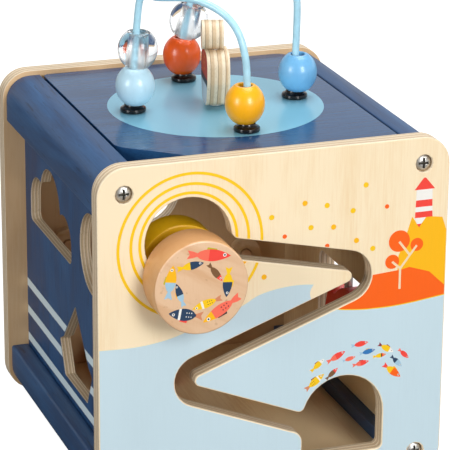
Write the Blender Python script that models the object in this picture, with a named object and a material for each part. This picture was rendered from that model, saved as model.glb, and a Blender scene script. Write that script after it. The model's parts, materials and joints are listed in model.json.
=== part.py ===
"""Wooden baby activity cube: a plywood box with a zig-zag track, sorting holes, gears and a bead maze.

Metres, +Z up.  The origin is the middle of the cube's footprint, on the surface that it stands on.
The track panel faces -Y, the gear panel +Y, and the sorting panel -X.
"""
import math

import bmesh
import bpy
from mathutils import Vector

# ---------------------------------------------------------------- driving dimensions
CUBE = 0.200                      # width, depth and height of the cube itself
PLY = 0.010                       # thickness of the plywood panels and boards
LEFT_PLY = 0.006                  # the left panel, with the sorting cut-outs, is thinner
GAP = 0.0003                      # between pieces that touch
PANEL_CORNER = 0.016              # corner radius of the front and back panels
ARC_STEP = math.radians(10)       # angle between the points of an arc
KNOB_REACH = 0.022                # how far the slider and the gear caps stand out of the cube

# rails: the outer face, the face beside the lid, and the ledge that the lid lies on
RAIL_OUTER = 0.098
RAIL_INNER = 0.0773
RAIL_LEDGE = 0.0708
RAIL_TOP = 0.1975
RAIL_HEIGHT = 0.027
RAIL_ROUND = 0.014
SIDE_OUTER = 0.0874               # outer face of the left and right panels
SIDE_SEAT = 0.179                 # height of the rebate that holds a side panel's top edge

# screws
SCREW_INSET = 0.015
SCREW_HEAD = 0.0046
SCREW_SHANK = 0.0020
SCREW_LENGTH = 0.030
SCREW_RECESS = 0.0050
RECESS_DEPTH = 0.0032
PILOT_DEPTH = RECESS_DEPTH + SCREW_LENGTH + 0.001
BORE_CLEARANCE = 0.0003

# zig-zag track: centre line (x, z), from the round hole to the arch
TRACK = [Vector((-0.0496, 0.1541)), Vector((0.0738, 0.1271)),
         Vector((-0.0681, 0.0751)), Vector((0.0406, 0.0316))]
TRACK_WIDTH = 0.0115
TURN_RADIUS = 0.00925             # of the centre line
HOLE_CENTRE = Vector((-0.0496, 0.1557))
HOLE_RADIUS = 0.0243
ARCH_CENTRE = Vector((0.0406, 0.0429))
ARCH_RADIUS = 0.0238
ARCH_FLOOR = 0.020
UPPER_MOUTH, LOWER_MOUTH, ARCH_MOUTH, ARCH_LIP = 0.005, 0.008, 0.0035, 0.007
ARCH_CORNER = 0.003

# slider: a disc on each side of the track panel, on one dowel
DOWEL_RADIUS = 0.00525
FRONT_DISC_RADIUS = 0.026
REAR_DISC_RADIUS = 0.024
REAR_DISC_DEPTH = 0.0185
DISC_CLEARANCE = 0.0007
DISC_ROUND = 0.003
DOWEL_DEPTH = 0.015               # how far the dowel goes into each disc
TRACK_ENTRY_X = -0.020            # where the slider's arc meets the track's centre line

# sorting cut-outs of the left panel (y, z)
CLOUD_FLOOR = 0.1132
CLOUD_LOBES = [(Vector((0.0610, 0.1262)), 0.0172), (Vector((0.0365, 0.1350)), 0.0209),
               (Vector((0.0080, 0.1233)), 0.0148)]
CLOUD_CORNER = 0.004
SUN_CENTRE = Vector((-0.0475, 0.1335))
SUN_RADIUS = 0.0233
BOAT_CENTRE = Vector((-0.0133, 0.0))
BOAT_HALF = [(0.0, 0.0912), (0.0246, 0.0640), (0.0320, 0.0602), (0.0222, 0.0412)]
BOAT_ROUND = 0.0012

# window of the right panel and the fish that turns in it (y, z)
WINDOW_LOW = Vector((-0.038, 0.038))
WINDOW_HIGH = Vector((0.032, 0.092))
WINDOW_CORNER = 0.006
FISH_LENGTH = 0.050
FISH_HEIGHT = 0.026
FISH_TAIL = 0.012
FISH_Z = 0.068
ROD_RADIUS = 0.0025
ROD_SEAT = 0.008                  # how far the rod goes into the panel at each end

# gears of the back panel: axle positions (x, z); the middle one meshes with both others
GEAR_RIGHT = Vector((0.0500, 0.0730))
GEAR_MIDDLE = Vector((-0.0100, 0.0620))
GEAR_LEFT = Vector((-0.0632, 0.0918))
GEAR_TEETH = 10
GEAR_RADIUS = 0.0297              # half way up the teeth
TOOTH = 0.0028                    # half of a tooth's height
GEAR_DEPTH = 0.012
GEAR_CLEARANCE = 0.0008
CAP_RADIUS = 0.010
AXLE_RADIUS = 0.003
KEEPER_DEPTH = 0.005
POST_HOLE_CENTRE = Vector((-0.014, 0.1175))
POST_HOLE_RADIUS = 0.0225

# lid
LID_HALF_WIDTH = 0.0760
LID_HALF_DEPTH = 0.0893
LID_CORNER = 0.004
FINGER_CUT = (0.039, 0.033)       # how much of the front left corner is cut away, along X and Y
FINGER_ROUND = 0.010

# bead maze: where each wire's feet stand, and each wire's height over the distance between them
FOOT_FRONT = Vector((0.0, -0.052))
FOOT_LEFT = Vector((-0.048, 0.002))
FOOT_BACK = Vector((-0.0015, 0.052))
FOOT_RIGHT = Vector((0.0475, 0.0))
WIRE_RADIUS = 0.002
WIRE_STEP = 0.0050
WIRE_FOOT = 0.1885
FRONT_WIRE = [(0.0, 0.2010), (0.0, 0.2140), (0.0001, 0.2243), (0.0010, 0.2368), (0.0039, 0.2478),
              (0.0077, 0.2547), (0.0128, 0.2597), (0.0185, 0.2630), (0.0261, 0.2656),
              (0.0340, 0.2668), (0.0420, 0.2667), (0.0500, 0.2657), (0.0570, 0.2650),
              (0.0625, 0.2657), (0.0660, 0.2646), (0.0679, 0.2610), (0.0692, 0.2515),
              (0.0701, 0.2419), (0.0710, 0.2310), (0.0719, 0.2190), (0.0722, 0.2090),
              (0.0722, 0.2010)]
BACK_WIRE = [(0.0, 0.2010), (0.0, 0.2120), (0.0002, 0.2230), (0.0013, 0.2330), (0.0032, 0.2415),
             (0.0056, 0.2478), (0.0091, 0.2528), (0.0140, 0.2568), (0.0205, 0.2598),
             (0.0280, 0.2620), (0.0360, 0.2636), (0.0440, 0.2650), (0.0520, 0.2662),
             (0.0590, 0.2668), (0.0648, 0.2660), (0.0690, 0.2630), (0.0714, 0.2580),
             (0.0723, 0.2500), (0.0721, 0.2350), (0.0717, 0.2220), (0.07145, 0.2100),
             (0.07145, 0.2010)]
FOOT_HEIGHT = 0.0043
BEAD_BORE = 0.0041
# across, pole to pole and cut height of a wooden and of a clear bead, each halved
WOODEN_BEAD = (0.0110, 0.0122, 0.0105)
CLEAR_BEAD = (0.0111, 0.0120, 0.0098)
CLEAR_LEFT_LEAN = math.radians(4)
CLEAR_BACK_LEAN = math.radians(14)

# figure of two blocks that turn on one pin in the middle of the lid
FIGURE_BASE = 0.1994
BODY_TURN = math.radians(-11.5)
BODY_DEPTH = 0.0129
BODY_HEIGHT = 0.0308
HEAD_TURN = math.radians(-16.2)
HEAD_DEPTH = 0.0122
HEAD_SHIFT = -0.0020              # from the pin to the head's middle, across its ply
HEAD_RADIUS = 0.0082
HEAD_CENTRE = BODY_HEIGHT + GAP + 0.0080
PIN_TOP = FIGURE_BASE + 0.0368

# sorting blocks
BLOCK_DEPTH = 0.018
BLOCK_SHRINK = 0.95
BLOCK_FLOOR = 0.0125 + GAP


# ---------------------------------------------------------------- materials
def finish(piece, colour, roughness, metallic=0.0, alpha=1.0):
    """Give a piece a Principled material of its own, named after it."""
    made = bpy.data.materials.new(piece.name)
    made.use_nodes = True
    shader = made.node_tree.nodes["Principled BSDF"]
    shader.inputs["Base Color"].default_value = (*colour, 1.0)
    shader.inputs["Roughness"].default_value = roughness
    shader.inputs["Metallic"].default_value = metallic
    shader.inputs["Alpha"].default_value = alpha
    made.diffuse_color = (*colour, alpha)
    piece.data.materials.clear()
    piece.data.materials.append(made)
    return piece


def birch(piece):
    return finish(piece, (0.93, 0.73, 0.47), 0.45)


def navy(piece):
    return finish(piece, (0.025, 0.065, 0.175), 0.42)


def steel(piece):
    return finish(piece, (0.62, 0.60, 0.57), 0.25, 1.0)


# ---------------------------------------------------------------- outlines
def arc(centre, radius, start, sweep):
    """Points of an arc, both ends included; a negative sweep runs clockwise."""
    steps = max(2, math.ceil(abs(sweep) / ARC_STEP))
    angles = [start + sweep * i / steps for i in range(steps + 1)]
    return [centre + radius * Vector((math.cos(a), math.sin(a))) for a in angles]


def direction_of(vector):
    return math.atan2(vector.y, vector.x)


def arc_between(centre, first, last):
    """The shorter arc about a centre from one point to another."""
    start = direction_of(first - centre)
    sweep = (direction_of(last - centre) - start + math.pi) % math.tau - math.pi
    return arc(centre, (first - centre).length, start, sweep)


def rounded_corner(before, corner, after, radius):
    """The arc that rounds one corner of an outline."""
    back = (before - corner).normalized()
    ahead = (after - corner).normalized()
    half = back.angle(ahead) / 2
    centre = corner + (back + ahead).normalized() * radius / math.sin(half)
    cut = radius / math.tan(half)
    return arc_between(centre, corner + back * cut, corner + ahead * cut)


def rounded(corners):
    """A closed outline from corners given as (x, y, radius)."""
    places = [Vector(corner[:2]) for corner in corners]
    outline = []
    for i, (x, y, radius) in enumerate(corners):
        if radius:
            after = places[(i + 1) % len(places)]
            outline += rounded_corner(places[i - 1], places[i], after, radius)
        else:
            outline.append(places[i])
    return outline


def rectangle(low, high, radius):
    return rounded([(low[0], low[1], radius), (high[0], low[1], radius),
                    (high[0], high[1], radius), (low[0], high[1], radius)])


def circle(centre, radius, points):
    angles = [math.tau * i / points for i in range(points)]
    return [centre + radius * Vector((math.cos(a), math.sin(a))) for a in angles]


def left_normal(direction):
    return Vector((-direction.y, direction.x))


def offset_path(path, distance):
    """A path moved to its left by a distance, with mitred corners."""
    steps = [(b - a).normalized() for a, b in zip(path, path[1:])]
    moved = []
    for i, place in enumerate(path):
        first = left_normal(steps[max(i - 1, 0)])
        second = left_normal(steps[min(i, len(steps) - 1)])
        moved.append(place + (first + second) * distance / (1 + first.dot(second)))
    return moved


def blend_centre(round_centre, round_radius, point, along, outward, radius, sign):
    """Centre of the fillet that touches a line and, from outside, a circle."""
    base = point + outward * radius - round_centre
    way = base.dot(along)
    reach = math.sqrt(way ** 2 - base.length_squared + (round_radius + radius) ** 2)
    return round_centre + base + along * (sign * reach - way)


def track_outline():
    """The whole cut-out of the track panel: round hole, zig-zag slot and arch."""
    upper = offset_path(TRACK, TRACK_WIDTH / 2)
    lower = offset_path(TRACK, -TRACK_WIDTH / 2)
    wide = TURN_RADIUS + TRACK_WIDTH / 2
    tight = TURN_RADIUS - TRACK_WIDTH / 2
    first = (TRACK[1] - TRACK[0]).normalized()
    last = (TRACK[3] - TRACK[2]).normalized()

    mouth = blend_centre(HOLE_CENTRE, HOLE_RADIUS, upper[0], first, left_normal(first), UPPER_MOUTH, 1)
    top_of_hole = HOLE_CENTRE + (mouth - HOLE_CENTRE).normalized() * HOLE_RADIUS
    outline = arc_between(mouth, top_of_hole, mouth - left_normal(first) * UPPER_MOUTH)
    outline += rounded_corner(upper[0], upper[1], upper[2], wide)
    outline += rounded_corner(upper[1], upper[2], upper[3], tight)

    mouth = blend_centre(ARCH_CENTRE, ARCH_RADIUS, upper[3], last, left_normal(last), ARCH_MOUTH, -1)
    arch_start = ARCH_CENTRE + (mouth - ARCH_CENTRE).normalized() * ARCH_RADIUS
    outline += arc_between(mouth, mouth - left_normal(last) * ARCH_MOUTH, arch_start)
    turn = direction_of(arch_start - ARCH_CENTRE)
    outline += arc(ARCH_CENTRE, ARCH_RADIUS, turn, -turn)[1:]
    right, left = ARCH_CENTRE.x + ARCH_RADIUS, ARCH_CENTRE.x - ARCH_RADIUS
    floor_right, floor_left = Vector((right, ARCH_FLOOR)), Vector((left, ARCH_FLOOR))
    lip = Vector((left, lower[3].y + (left - lower[3].x) * last.y / last.x))
    outline += rounded_corner(ARCH_CENTRE + Vector((ARCH_RADIUS, 0)), floor_right, floor_left, ARCH_CORNER)
    outline += rounded_corner(floor_right, floor_left, lip, ARCH_CORNER)
    outline += rounded_corner(floor_left, lip, lower[2], ARCH_LIP)

    outline += rounded_corner(lower[3], lower[2], lower[1], wide)
    outline += rounded_corner(lower[2], lower[1], lower[0], tight)
    mouth = blend_centre(HOLE_CENTRE, HOLE_RADIUS, lower[0], first, -left_normal(first), LOWER_MOUTH, 1)
    foot_of_hole = HOLE_CENTRE + (mouth - HOLE_CENTRE).normalized() * HOLE_RADIUS
    outline += arc_between(mouth, mouth + left_normal(first) * LOWER_MOUTH, foot_of_hole)
    start = direction_of(foot_of_hole - HOLE_CENTRE)
    sweep = (direction_of(top_of_hole - HOLE_CENTRE) - start) % math.tau - math.tau
    outline += arc(HOLE_CENTRE, HOLE_RADIUS, start, sweep)[1:-1]
    return outline


def meeting(first, second):
    """The upper crossing of two circles, each given as (centre, radius)."""
    across = second[0] - first[0]
    along = (across.length_squared + first[1] ** 2 - second[1] ** 2) / (2 * across.length)
    off = math.sqrt(first[1] ** 2 - along ** 2)
    unit = across.normalized()
    points = [first[0] + unit * along + left_normal(unit) * side * off for side in (1, -1)]
    return max(points, key=lambda point: point.y)


def cloud_outline():
    """Three lobes over a flat floor, from the lobe at +Y to the one at -Y."""
    high, middle, low = CLOUD_LOBES
    first, second = meeting(high, middle), meeting(middle, low)
    high_floor = Vector((high[0].x + high[1], CLOUD_FLOOR))
    low_floor = Vector((low[0].x - low[1], CLOUD_FLOOR))
    outline = arc_between(high[0], high[0] + Vector((high[1], 0)), first)
    outline += arc_between(middle[0], first, second)[1:-1]
    outline += arc_between(low[0], second, low[0] - Vector((low[1], 0)))
    outline += rounded_corner(outline[-1], low_floor, high_floor, CLOUD_CORNER)
    outline += rounded_corner(low_floor, high_floor, outline[0], CLOUD_CORNER)
    return outline


def boat_outline():
    """A sail on a hull, the same on both sides of its mast."""
    side = [(BOAT_CENTRE.x + y, z, BOAT_ROUND) for y, z in BOAT_HALF]
    other = [(BOAT_CENTRE.x - y, z, BOAT_ROUND) for y, z in reversed(BOAT_HALF[1:])]
    return rounded(side + other)


def gear_outline(phase):
    """Rounded teeth; at the phase angle a tooth points outwards."""
    outline = []
    points = GEAR_TEETH * 10
    for i in range(points):
        angle = math.tau * i / points + phase
        radius = GEAR_RADIUS + TOOTH * math.cos(GEAR_TEETH * (angle - phase))
        outline.append(radius * Vector((math.cos(angle), math.sin(angle))))
    return outline


def gear_phases():
    """Tooth angles of the right, middle and left gear that put both pairs in mesh."""
    right = direction_of(GEAR_MIDDLE - GEAR_RIGHT)
    half_tooth = math.pi / GEAR_TEETH
    middle = right + math.pi - half_tooth
    onward = direction_of(GEAR_LEFT - GEAR_MIDDLE)
    left = 2 * onward + math.pi - half_tooth - middle
    return right, middle, left


def fish_outline():
    """A fish about its middle, nose towards -Y: a lens-shaped body and a forked tail."""
    body_end = FISH_LENGTH / 2 - FISH_TAIL
    side = []
    steps = 12
    for i in range(steps):
        share = i / steps
        y = -FISH_LENGTH / 2 + share * (body_end + FISH_LENGTH / 2)
        side.append(Vector((y, FISH_HEIGHT / 2 * math.sin(math.pi * share ** 0.8) ** 0.75)))
    tail = [Vector((body_end, FISH_HEIGHT * 0.13)),
            Vector((body_end + FISH_TAIL * 0.8, FISH_HEIGHT * 0.42)),
            Vector((body_end + FISH_TAIL, FISH_HEIGHT * 0.36))]
    upper = side + tail
    notch = Vector((body_end + FISH_TAIL * 0.7, 0))
    lower = [Vector((point.x, -point.y)) for point in reversed(upper[1:])]
    return upper + [notch] + lower


def smooth_path(points, step):
    """Points about a step apart along a Catmull-Rom curve through the given points."""
    path = []
    for i in range(len(points) - 1):
        a, b = points[i], points[i + 1]
        before = points[i - 1] if i else 2 * a - b
        after = points[i + 2] if i + 2 < len(points) else 2 * b - a
        count = max(1, round((b - a).length / step))
        for j in range(count):
            t = j / count
            path.append(0.5 * (2 * a + (b - before) * t + (2 * before - 5 * a + 4 * b - after) * t ** 2
                               + (3 * a - before - 3 * b + after) * t ** 3))
    return path + [points[-1]]


# ---------------------------------------------------------------- solids
def new_piece(name, bm):
    bmesh.ops.recalc_face_normals(bm, faces=bm.faces)
    mesh = bpy.data.meshes.new(name)
    bm.to_mesh(mesh)
    bm.free()
    piece = bpy.data.objects.new(name, mesh)
    bpy.context.collection.objects.link(piece)
    return piece


def prism(name, outline, depth):
    """An outline in the local XY plane, extruded by half the depth to each side."""
    bm = bmesh.new()
    low = [bm.verts.new((p.x, p.y, -depth / 2)) for p in outline]
    high = [bm.verts.new((p.x, p.y, depth / 2)) for p in outline]
    bm.faces.new(low)
    bm.faces.new(high)
    for i in range(len(outline)):
        bm.faces.new((low[i - 1], low[i], high[i], high[i - 1]))
    return new_piece(name, bm)


def turned(name, profile, segments=24, bored=False):
    """A profile of (radius, height) turned about local Z; a bored one closes on itself."""
    bm = bmesh.new()
    rings = []
    for radius, height in profile:
        if radius == 0:
            rings.append([bm.verts.new((0, 0, height))])
            continue
        angles = [math.tau * i / segments for i in range(segments)]
        rings.append([bm.verts.new((radius * math.cos(a), radius * math.sin(a), height)) for a in angles])
    pairs = list(zip(rings, rings[1:]))
    if bored:
        pairs.append((rings[-1], rings[0]))
    for first, second in pairs:
        for i in range(segments):
            quad = [first[i % len(first)], first[(i + 1) % len(first)],
                    second[(i + 1) % len(second)], second[i % len(second)]]
            bm.faces.new(dict.fromkeys(quad))
    piece = new_piece(name, bm)
    piece.data.shade_smooth()
    piece.data.set_sharp_from_angle(angle=math.radians(35))
    return piece


def cutter(piece):
    piece.hide_render = True
    piece.display_type = "WIRE"
    return piece


def cut(piece, tool):
    """Take a cutter's shape out of a piece."""
    change = piece.modifiers.new(tool.name, "BOOLEAN")
    change.operation = "DIFFERENCE"
    change.solver = "EXACT"
    change.object = cutter(tool)


def facing_front(piece, y, x=0.0, z=0.0):
    """Local X, Y and Z become +X, +Z and -Y."""
    piece.rotation_euler = (math.pi / 2, 0, 0)
    piece.location = (x, y, z)
    return piece


def facing_back(piece, y, x=0.0, z=0.0):
    """Local Z becomes +Y."""
    piece.rotation_euler = (-math.pi / 2, 0, 0)
    piece.location = (x, y, z)
    return piece


def facing_side(piece, x, y=0.0, z=0.0):
    """Local X, Y and Z become +Y, +Z and +X."""
    piece.rotation_euler = (math.pi / 2, 0, math.pi / 2)
    piece.location = (x, y, z)
    return piece


def pivot(name, location, parent=None):
    """An empty on a joint's axis."""
    empty = bpy.data.objects.new(name, None)
    empty.empty_display_size = 0.02
    bpy.context.collection.objects.link(empty)
    empty.location = location
    if parent:
        ride(empty, parent)
    return empty


def ride(piece, parent):
    """Parent a piece to an empty that isn't turned, keeping the piece where it is."""
    offset = parent.location.copy()
    above = parent.parent
    while above:
        offset += above.location
        above = above.parent
    piece.parent = parent
    piece.location -= offset
    return piece


# ---------------------------------------------------------------- the box
def screw_places():
    low, high = SCREW_INSET, CUBE - SCREW_INSET
    return [("top_left", -CUBE / 2 + SCREW_INSET, high), ("top_right", CUBE / 2 - SCREW_INSET, high),
            ("bottom_left", -CUBE / 2 + SCREW_INSET, low), ("bottom_right", CUBE / 2 - SCREW_INSET, low)]


def screw_recess(name):
    """The stepped hole of one screw through a panel, its mouth at local height 0."""
    return turned(name, [(0, 0.002), (SCREW_RECESS, 0.002), (SCREW_RECESS, -RECESS_DEPTH),
                         (SCREW_SHANK + BORE_CLEARANCE, -RECESS_DEPTH),
                         (SCREW_SHANK + BORE_CLEARANCE, -PLY - 0.002), (0, -PLY - 0.002)], 12)


def screw(name):
    """A cross-recess screw with a domed head; local height 0 is the panel's outer face."""
    seat = GAP - RECESS_DEPTH
    piece = turned(name, [(0, seat + 0.0024), (0.0022, seat + 0.0022), (0.0037, seat + 0.0015),
                          (SCREW_HEAD, seat + 0.0007), (SCREW_HEAD, seat), (SCREW_SHANK, seat),
                          (SCREW_SHANK, seat - SCREW_LENGTH + 0.002), (0, seat - SCREW_LENGTH)], 12)
    arm, width = 0.0028, 0.00055
    cross = [(arm, width), (width, width), (width, arm), (-width, arm), (-width, width), (-arm, width),
             (-arm, -width), (-width, -width), (-width, -arm), (width, -arm), (width, -width),
             (arm, -width)]
    slots = prism(name + "_cross", [Vector(point) for point in cross], 0.004)
    slots.location.z = seat + 0.0028
    slots.parent = piece
    cut(piece, slots)
    return steel(piece)


def make_screws():
    for place, x, z in screw_places():
        facing_front(screw("screw_front_" + place), -CUBE / 2, x, z)
        facing_back(screw("screw_back_" + place), CUBE / 2, x, z)


def panel_outline():
    return rectangle((-CUBE / 2, 0), (CUBE / 2, CUBE), PANEL_CORNER)


def make_front_panel():
    """The track panel."""
    y = -(CUBE - PLY) / 2
    panel = birch(facing_front(prism("front_panel", panel_outline(), PLY), y))
    cut(panel, facing_front(prism("track_cutter", track_outline(), 2 * PLY), y))
    for place, x, z in screw_places():
        cut(panel, facing_front(screw_recess("front_recess_" + place), -CUBE / 2, x, z))


def make_back_panel():
    """The gear panel, with a round hole and a bore for each gear's axle."""
    y = (CUBE - PLY) / 2
    panel = birch(facing_front(prism("back_panel", panel_outline(), PLY), y))
    hole = prism("post_hole_cutter", circle(POST_HOLE_CENTRE, POST_HOLE_RADIUS, 36), 2 * PLY)
    cut(panel, facing_front(hole, y))
    for name, place in (("right", GEAR_RIGHT), ("middle", GEAR_MIDDLE), ("left", GEAR_LEFT)):
        bore = prism("axle_bore_" + name, circle(place, AXLE_RADIUS + BORE_CLEARANCE, 16), 2 * PLY)
        cut(panel, facing_front(bore, y))
    for place, x, z in screw_places():
        cut(panel, facing_back(screw_recess("back_recess_" + place), CUBE / 2, x, z))


def side_height():
    """Lowest and highest edge of a side panel, in the rebates of its two rails."""
    return CUBE - SIDE_SEAT + GAP, SIDE_SEAT - GAP


def make_left_panel():
    """The sorting panel: a cloud, a sun and a boat."""
    low, high = side_height()
    half = CUBE / 2 - PLY - GAP
    x = -SIDE_OUTER + LEFT_PLY / 2
    panel = navy(facing_side(prism("left_panel", rectangle((-half, low), (half, high), 0.001), LEFT_PLY), x))
    cut(panel, facing_side(prism("cloud_cutter", cloud_outline(), 2 * PLY), x))
    cut(panel, facing_side(prism("sun_cutter", circle(SUN_CENTRE, SUN_RADIUS, 36), 2 * PLY), x))
    cut(panel, facing_side(prism("boat_cutter", boat_outline(), 2 * PLY), x))


def make_right_panel():
    """The panel with a window, and the rod that the fish turns on."""
    low, high = side_height()
    half = CUBE / 2 - PLY - GAP
    x = SIDE_OUTER - PLY / 2
    panel = navy(facing_side(prism("right_panel", rectangle((-half, low), (half, high), 0.001), PLY), x))
    window = prism("window_cutter", rectangle(WINDOW_LOW, WINDOW_HIGH, WINDOW_CORNER), 2 * PLY)
    cut(panel, facing_side(window, x))

    rod_y = (WINDOW_LOW.x + WINDOW_HIGH.x) / 2
    middle = (WINDOW_LOW.y + WINDOW_HIGH.y) / 2
    length = WINDOW_HIGH.y - WINDOW_LOW.y + 2 * ROD_SEAT
    bore = turned("rod_bore", [(0, length / 2), (ROD_RADIUS + GAP, length / 2),
                               (ROD_RADIUS + GAP, -length / 2), (0, -length / 2)], 16)
    bore.location = (x, rod_y, middle)
    cut(panel, bore)
    short = length / 2 - GAP
    rod = turned("fish_rod", [(0, short), (ROD_RADIUS, short), (ROD_RADIUS, -short), (0, -short)], 16)
    rod.location = (x, rod_y, middle)
    steel(rod)

    fish = facing_side(prism("turning_fish", fish_outline(), PLY), x, rod_y, FISH_Z)
    turning = pivot("fish_axis", (x, rod_y, FISH_Z))
    fish_bore = turned("fish_bore", [(0, 0.03), (ROD_RADIUS + GAP, 0.03), (ROD_RADIUS + GAP, -0.03),
                                     (0, -0.03)], 16)
    fish_bore.location = (x, rod_y, FISH_Z)
    cut(fish, fish_bore)
    ride(fish, turning)
    ride(fish_bore, turning)
    finish(fish, (0.80, 0.06, 0.03), 0.4)


def rail_outline(side, level):
    """One moulding for all four rails: side is -1 or 1, and level -1 (bottom) or 1 (top)."""
    foot = RAIL_TOP - RAIL_HEIGHT
    ledge = RAIL_TOP - PLY - GAP
    seat = SIDE_OUTER + GAP
    corners = [(RAIL_OUTER, foot, 0.0015), (RAIL_OUTER, RAIL_TOP, RAIL_ROUND), (RAIL_INNER, RAIL_TOP, 0.001),
               (RAIL_INNER, ledge, 0), (RAIL_LEDGE, ledge, 0), (RAIL_LEDGE, SIDE_SEAT, 0),
               (seat, SIDE_SEAT, 0), (seat, foot, 0)]
    outline = rounded(corners)
    if level < 0:
        outline = [Vector((point.x, CUBE - point.y)) for point in outline]
    return [Vector((side * point.x, point.y)) for point in outline]


def make_rails():
    length = CUBE - 2 * PLY - 2 * GAP
    places = {(place_x, place_z): (x, z) for (_, x, z), (place_x, place_z)
              in zip(screw_places(), ((-1, 1), (1, 1), (-1, -1), (1, -1)))}
    for side, left_or_right in ((-1, "left"), (1, "right")):
        for level, top_or_bottom in ((1, "top"), (-1, "bottom")):
            name = "rail_" + top_or_bottom + "_" + left_or_right
            rail = navy(facing_front(prism(name, rail_outline(side, level), length), 0))
            x, z = places[side, level]
            radius = SCREW_SHANK + BORE_CLEARANCE
            for end in (-1, 1):
                pilot = prism(name + "_pilot", circle(Vector((x, z)), radius, 12), 2 * PILOT_DEPTH)
                cut(rail, facing_front(pilot, end * CUBE / 2))


def make_floor():
    half = RAIL_INNER - 0.0005
    depth = CUBE / 2 - PLY - GAP
    board = prism("bottom_board", rectangle((-half, -depth), (half, depth), 0.001), PLY)
    board.location.z = CUBE - RAIL_TOP + PLY / 2
    birch(board)


# ---------------------------------------------------------------- slider
def slider_rest():
    """The dowel lies at the bottom of the round hole."""
    return HOLE_CENTRE + Vector((0, DOWEL_RADIUS + GAP - HOLE_RADIUS))


def slider_axis():
    """Centre of the arc from the rest position that runs into the track along its centre line."""
    along = (TRACK[1] - TRACK[0]).normalized()
    touch = TRACK[0] + along * (TRACK_ENTRY_X - TRACK[0].x) / along.x
    back = slider_rest() - touch
    radius = -back.length_squared / (2 * back.dot(left_normal(along)))
    return touch - left_normal(along) * radius


def disc_profile(radius, depth, bore):
    """A disc with a rounded front and a blind bore in its back, which is at height 0."""
    edge = [(radius - DISC_ROUND + DISC_ROUND * math.cos(a), depth - DISC_ROUND + DISC_ROUND * math.sin(a))
            for a in (0, math.pi / 6, math.pi / 3, math.pi / 2)]
    return [(0, depth)] + edge[::-1] + [(radius, 0.001), (radius - 0.001, 0), (bore, 0),
                                        (bore, DOWEL_DEPTH), (0, DOWEL_DEPTH)]


def make_slider():
    rest, axis = slider_rest(), slider_axis()
    travel = pivot("slider_travel_axis", (axis.x, 0, axis.y))
    spin = pivot("slider_spin_axis", (rest.x, 0, rest.y), travel)
    front_back_face = -CUBE / 2 - DISC_CLEARANCE
    rear_front_face = -CUBE / 2 + PLY + DISC_CLEARANCE
    bore = DOWEL_RADIUS + GAP

    disc = turned("slider_fish_disc", disc_profile(FRONT_DISC_RADIUS, KNOB_REACH - DISC_CLEARANCE, bore), 40)
    finish(disc, (0.86, 0.60, 0.38), 0.4)
    ride(facing_front(disc, front_back_face, rest.x, rest.y), spin)
    disc = turned("slider_rear_disc", disc_profile(REAR_DISC_RADIUS, REAR_DISC_DEPTH, bore), 32)
    finish(disc, (0.80, 0.58, 0.0), 0.35)
    ride(facing_back(disc, rear_front_face, rest.x, rest.y), spin)

    low = front_back_face - DOWEL_DEPTH + GAP
    high = rear_front_face + DOWEL_DEPTH - GAP
    half = (high - low) / 2
    dowel = turned("slider_dowel", [(0, half), (DOWEL_RADIUS - 0.0005, half), (DOWEL_RADIUS, half - 0.0005),
                                    (DOWEL_RADIUS, 0.0005 - half), (DOWEL_RADIUS - 0.0005, -half),
                                    (0, -half)], 20)
    ride(facing_front(dowel, (low + high) / 2, rest.x, rest.y), travel)
    finish(dowel, (0.85, 0.62, 0.40), 0.5)


# ---------------------------------------------------------------- gears
def make_gear(name, place, phase, colour):
    """A gear outside the back panel, its capped axle and the disc that keeps it in."""
    axis = pivot(name + "_axis", (place.x, 0, place.y))
    gear_y = CUBE / 2 + GEAR_CLEARANCE + GEAR_DEPTH / 2
    gear = facing_front(prism(name, gear_outline(phase), GEAR_DEPTH), gear_y, place.x, place.y)
    bore = facing_front(prism(name + "_bore", circle(Vector((0, 0)), AXLE_RADIUS + BORE_CLEARANCE, 16),
                              2 * GEAR_DEPTH), gear_y, place.x, place.y)
    cut(gear, bore)
    ride(gear, axis)
    ride(bore, axis)
    finish(gear, colour, 0.4)

    under_cap = GEAR_CLEARANCE + GEAR_DEPTH + GAP
    inner_end = -PLY - KEEPER_DEPTH - 0.002
    axle = turned(name + "_axle", [(0, KNOB_REACH), (CAP_RADIUS * 0.45, KNOB_REACH - 0.0004),
                                   (CAP_RADIUS * 0.8, KNOB_REACH - 0.0018),
                                   (CAP_RADIUS * 0.96, KNOB_REACH - 0.0042),
                                   (CAP_RADIUS, KNOB_REACH - 0.0070), (CAP_RADIUS, under_cap),
                                   (AXLE_RADIUS, under_cap), (AXLE_RADIUS, inner_end), (0, inner_end)], 20)
    ride(facing_back(axle, CUBE / 2, place.x, place.y), axis)
    finish(axle, (0.86, 0.62, 0.38), 0.4)

    bore_radius = AXLE_RADIUS + BORE_CLEARANCE
    keeper = turned(name + "_keeper", [(bore_radius, 0), (CAP_RADIUS, 0), (CAP_RADIUS, -KEEPER_DEPTH),
                                       (bore_radius, -KEEPER_DEPTH)], 20, bored=True)
    ride(facing_back(keeper, CUBE / 2 - PLY - GAP, place.x, place.y), axis)
    birch(keeper)


def make_gears():
    right, middle, left = gear_phases()
    make_gear("gear_right", GEAR_RIGHT, right, (0.90, 0.45, 0.01))
    make_gear("gear_middle", GEAR_MIDDLE, middle, (0.32, 0.62, 0.78))
    make_gear("gear_left", GEAR_LEFT, left, (0.85, 0.13, 0.03))


# ---------------------------------------------------------------- lid and bead maze
def lid_outline():
    """A rectangle with rounded corners and one corner cut off for a finger."""
    x, y = LID_HALF_WIDTH, LID_HALF_DEPTH
    cut_x, cut_y = FINGER_CUT
    return rounded([(x, -y, LID_CORNER), (x, y, 2 * LID_CORNER), (-x, y, LID_CORNER),
                    (-x, cut_y - y, FINGER_ROUND), (cut_x - x, -y, FINGER_ROUND)])


def upright_bore(name, place, z, radius, height):
    bore = turned(name, [(0, height / 2), (radius, height / 2), (radius, -height / 2), (0, -height / 2)], 16)
    bore.location = (place.x, place.y, z)
    return bore


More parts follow.
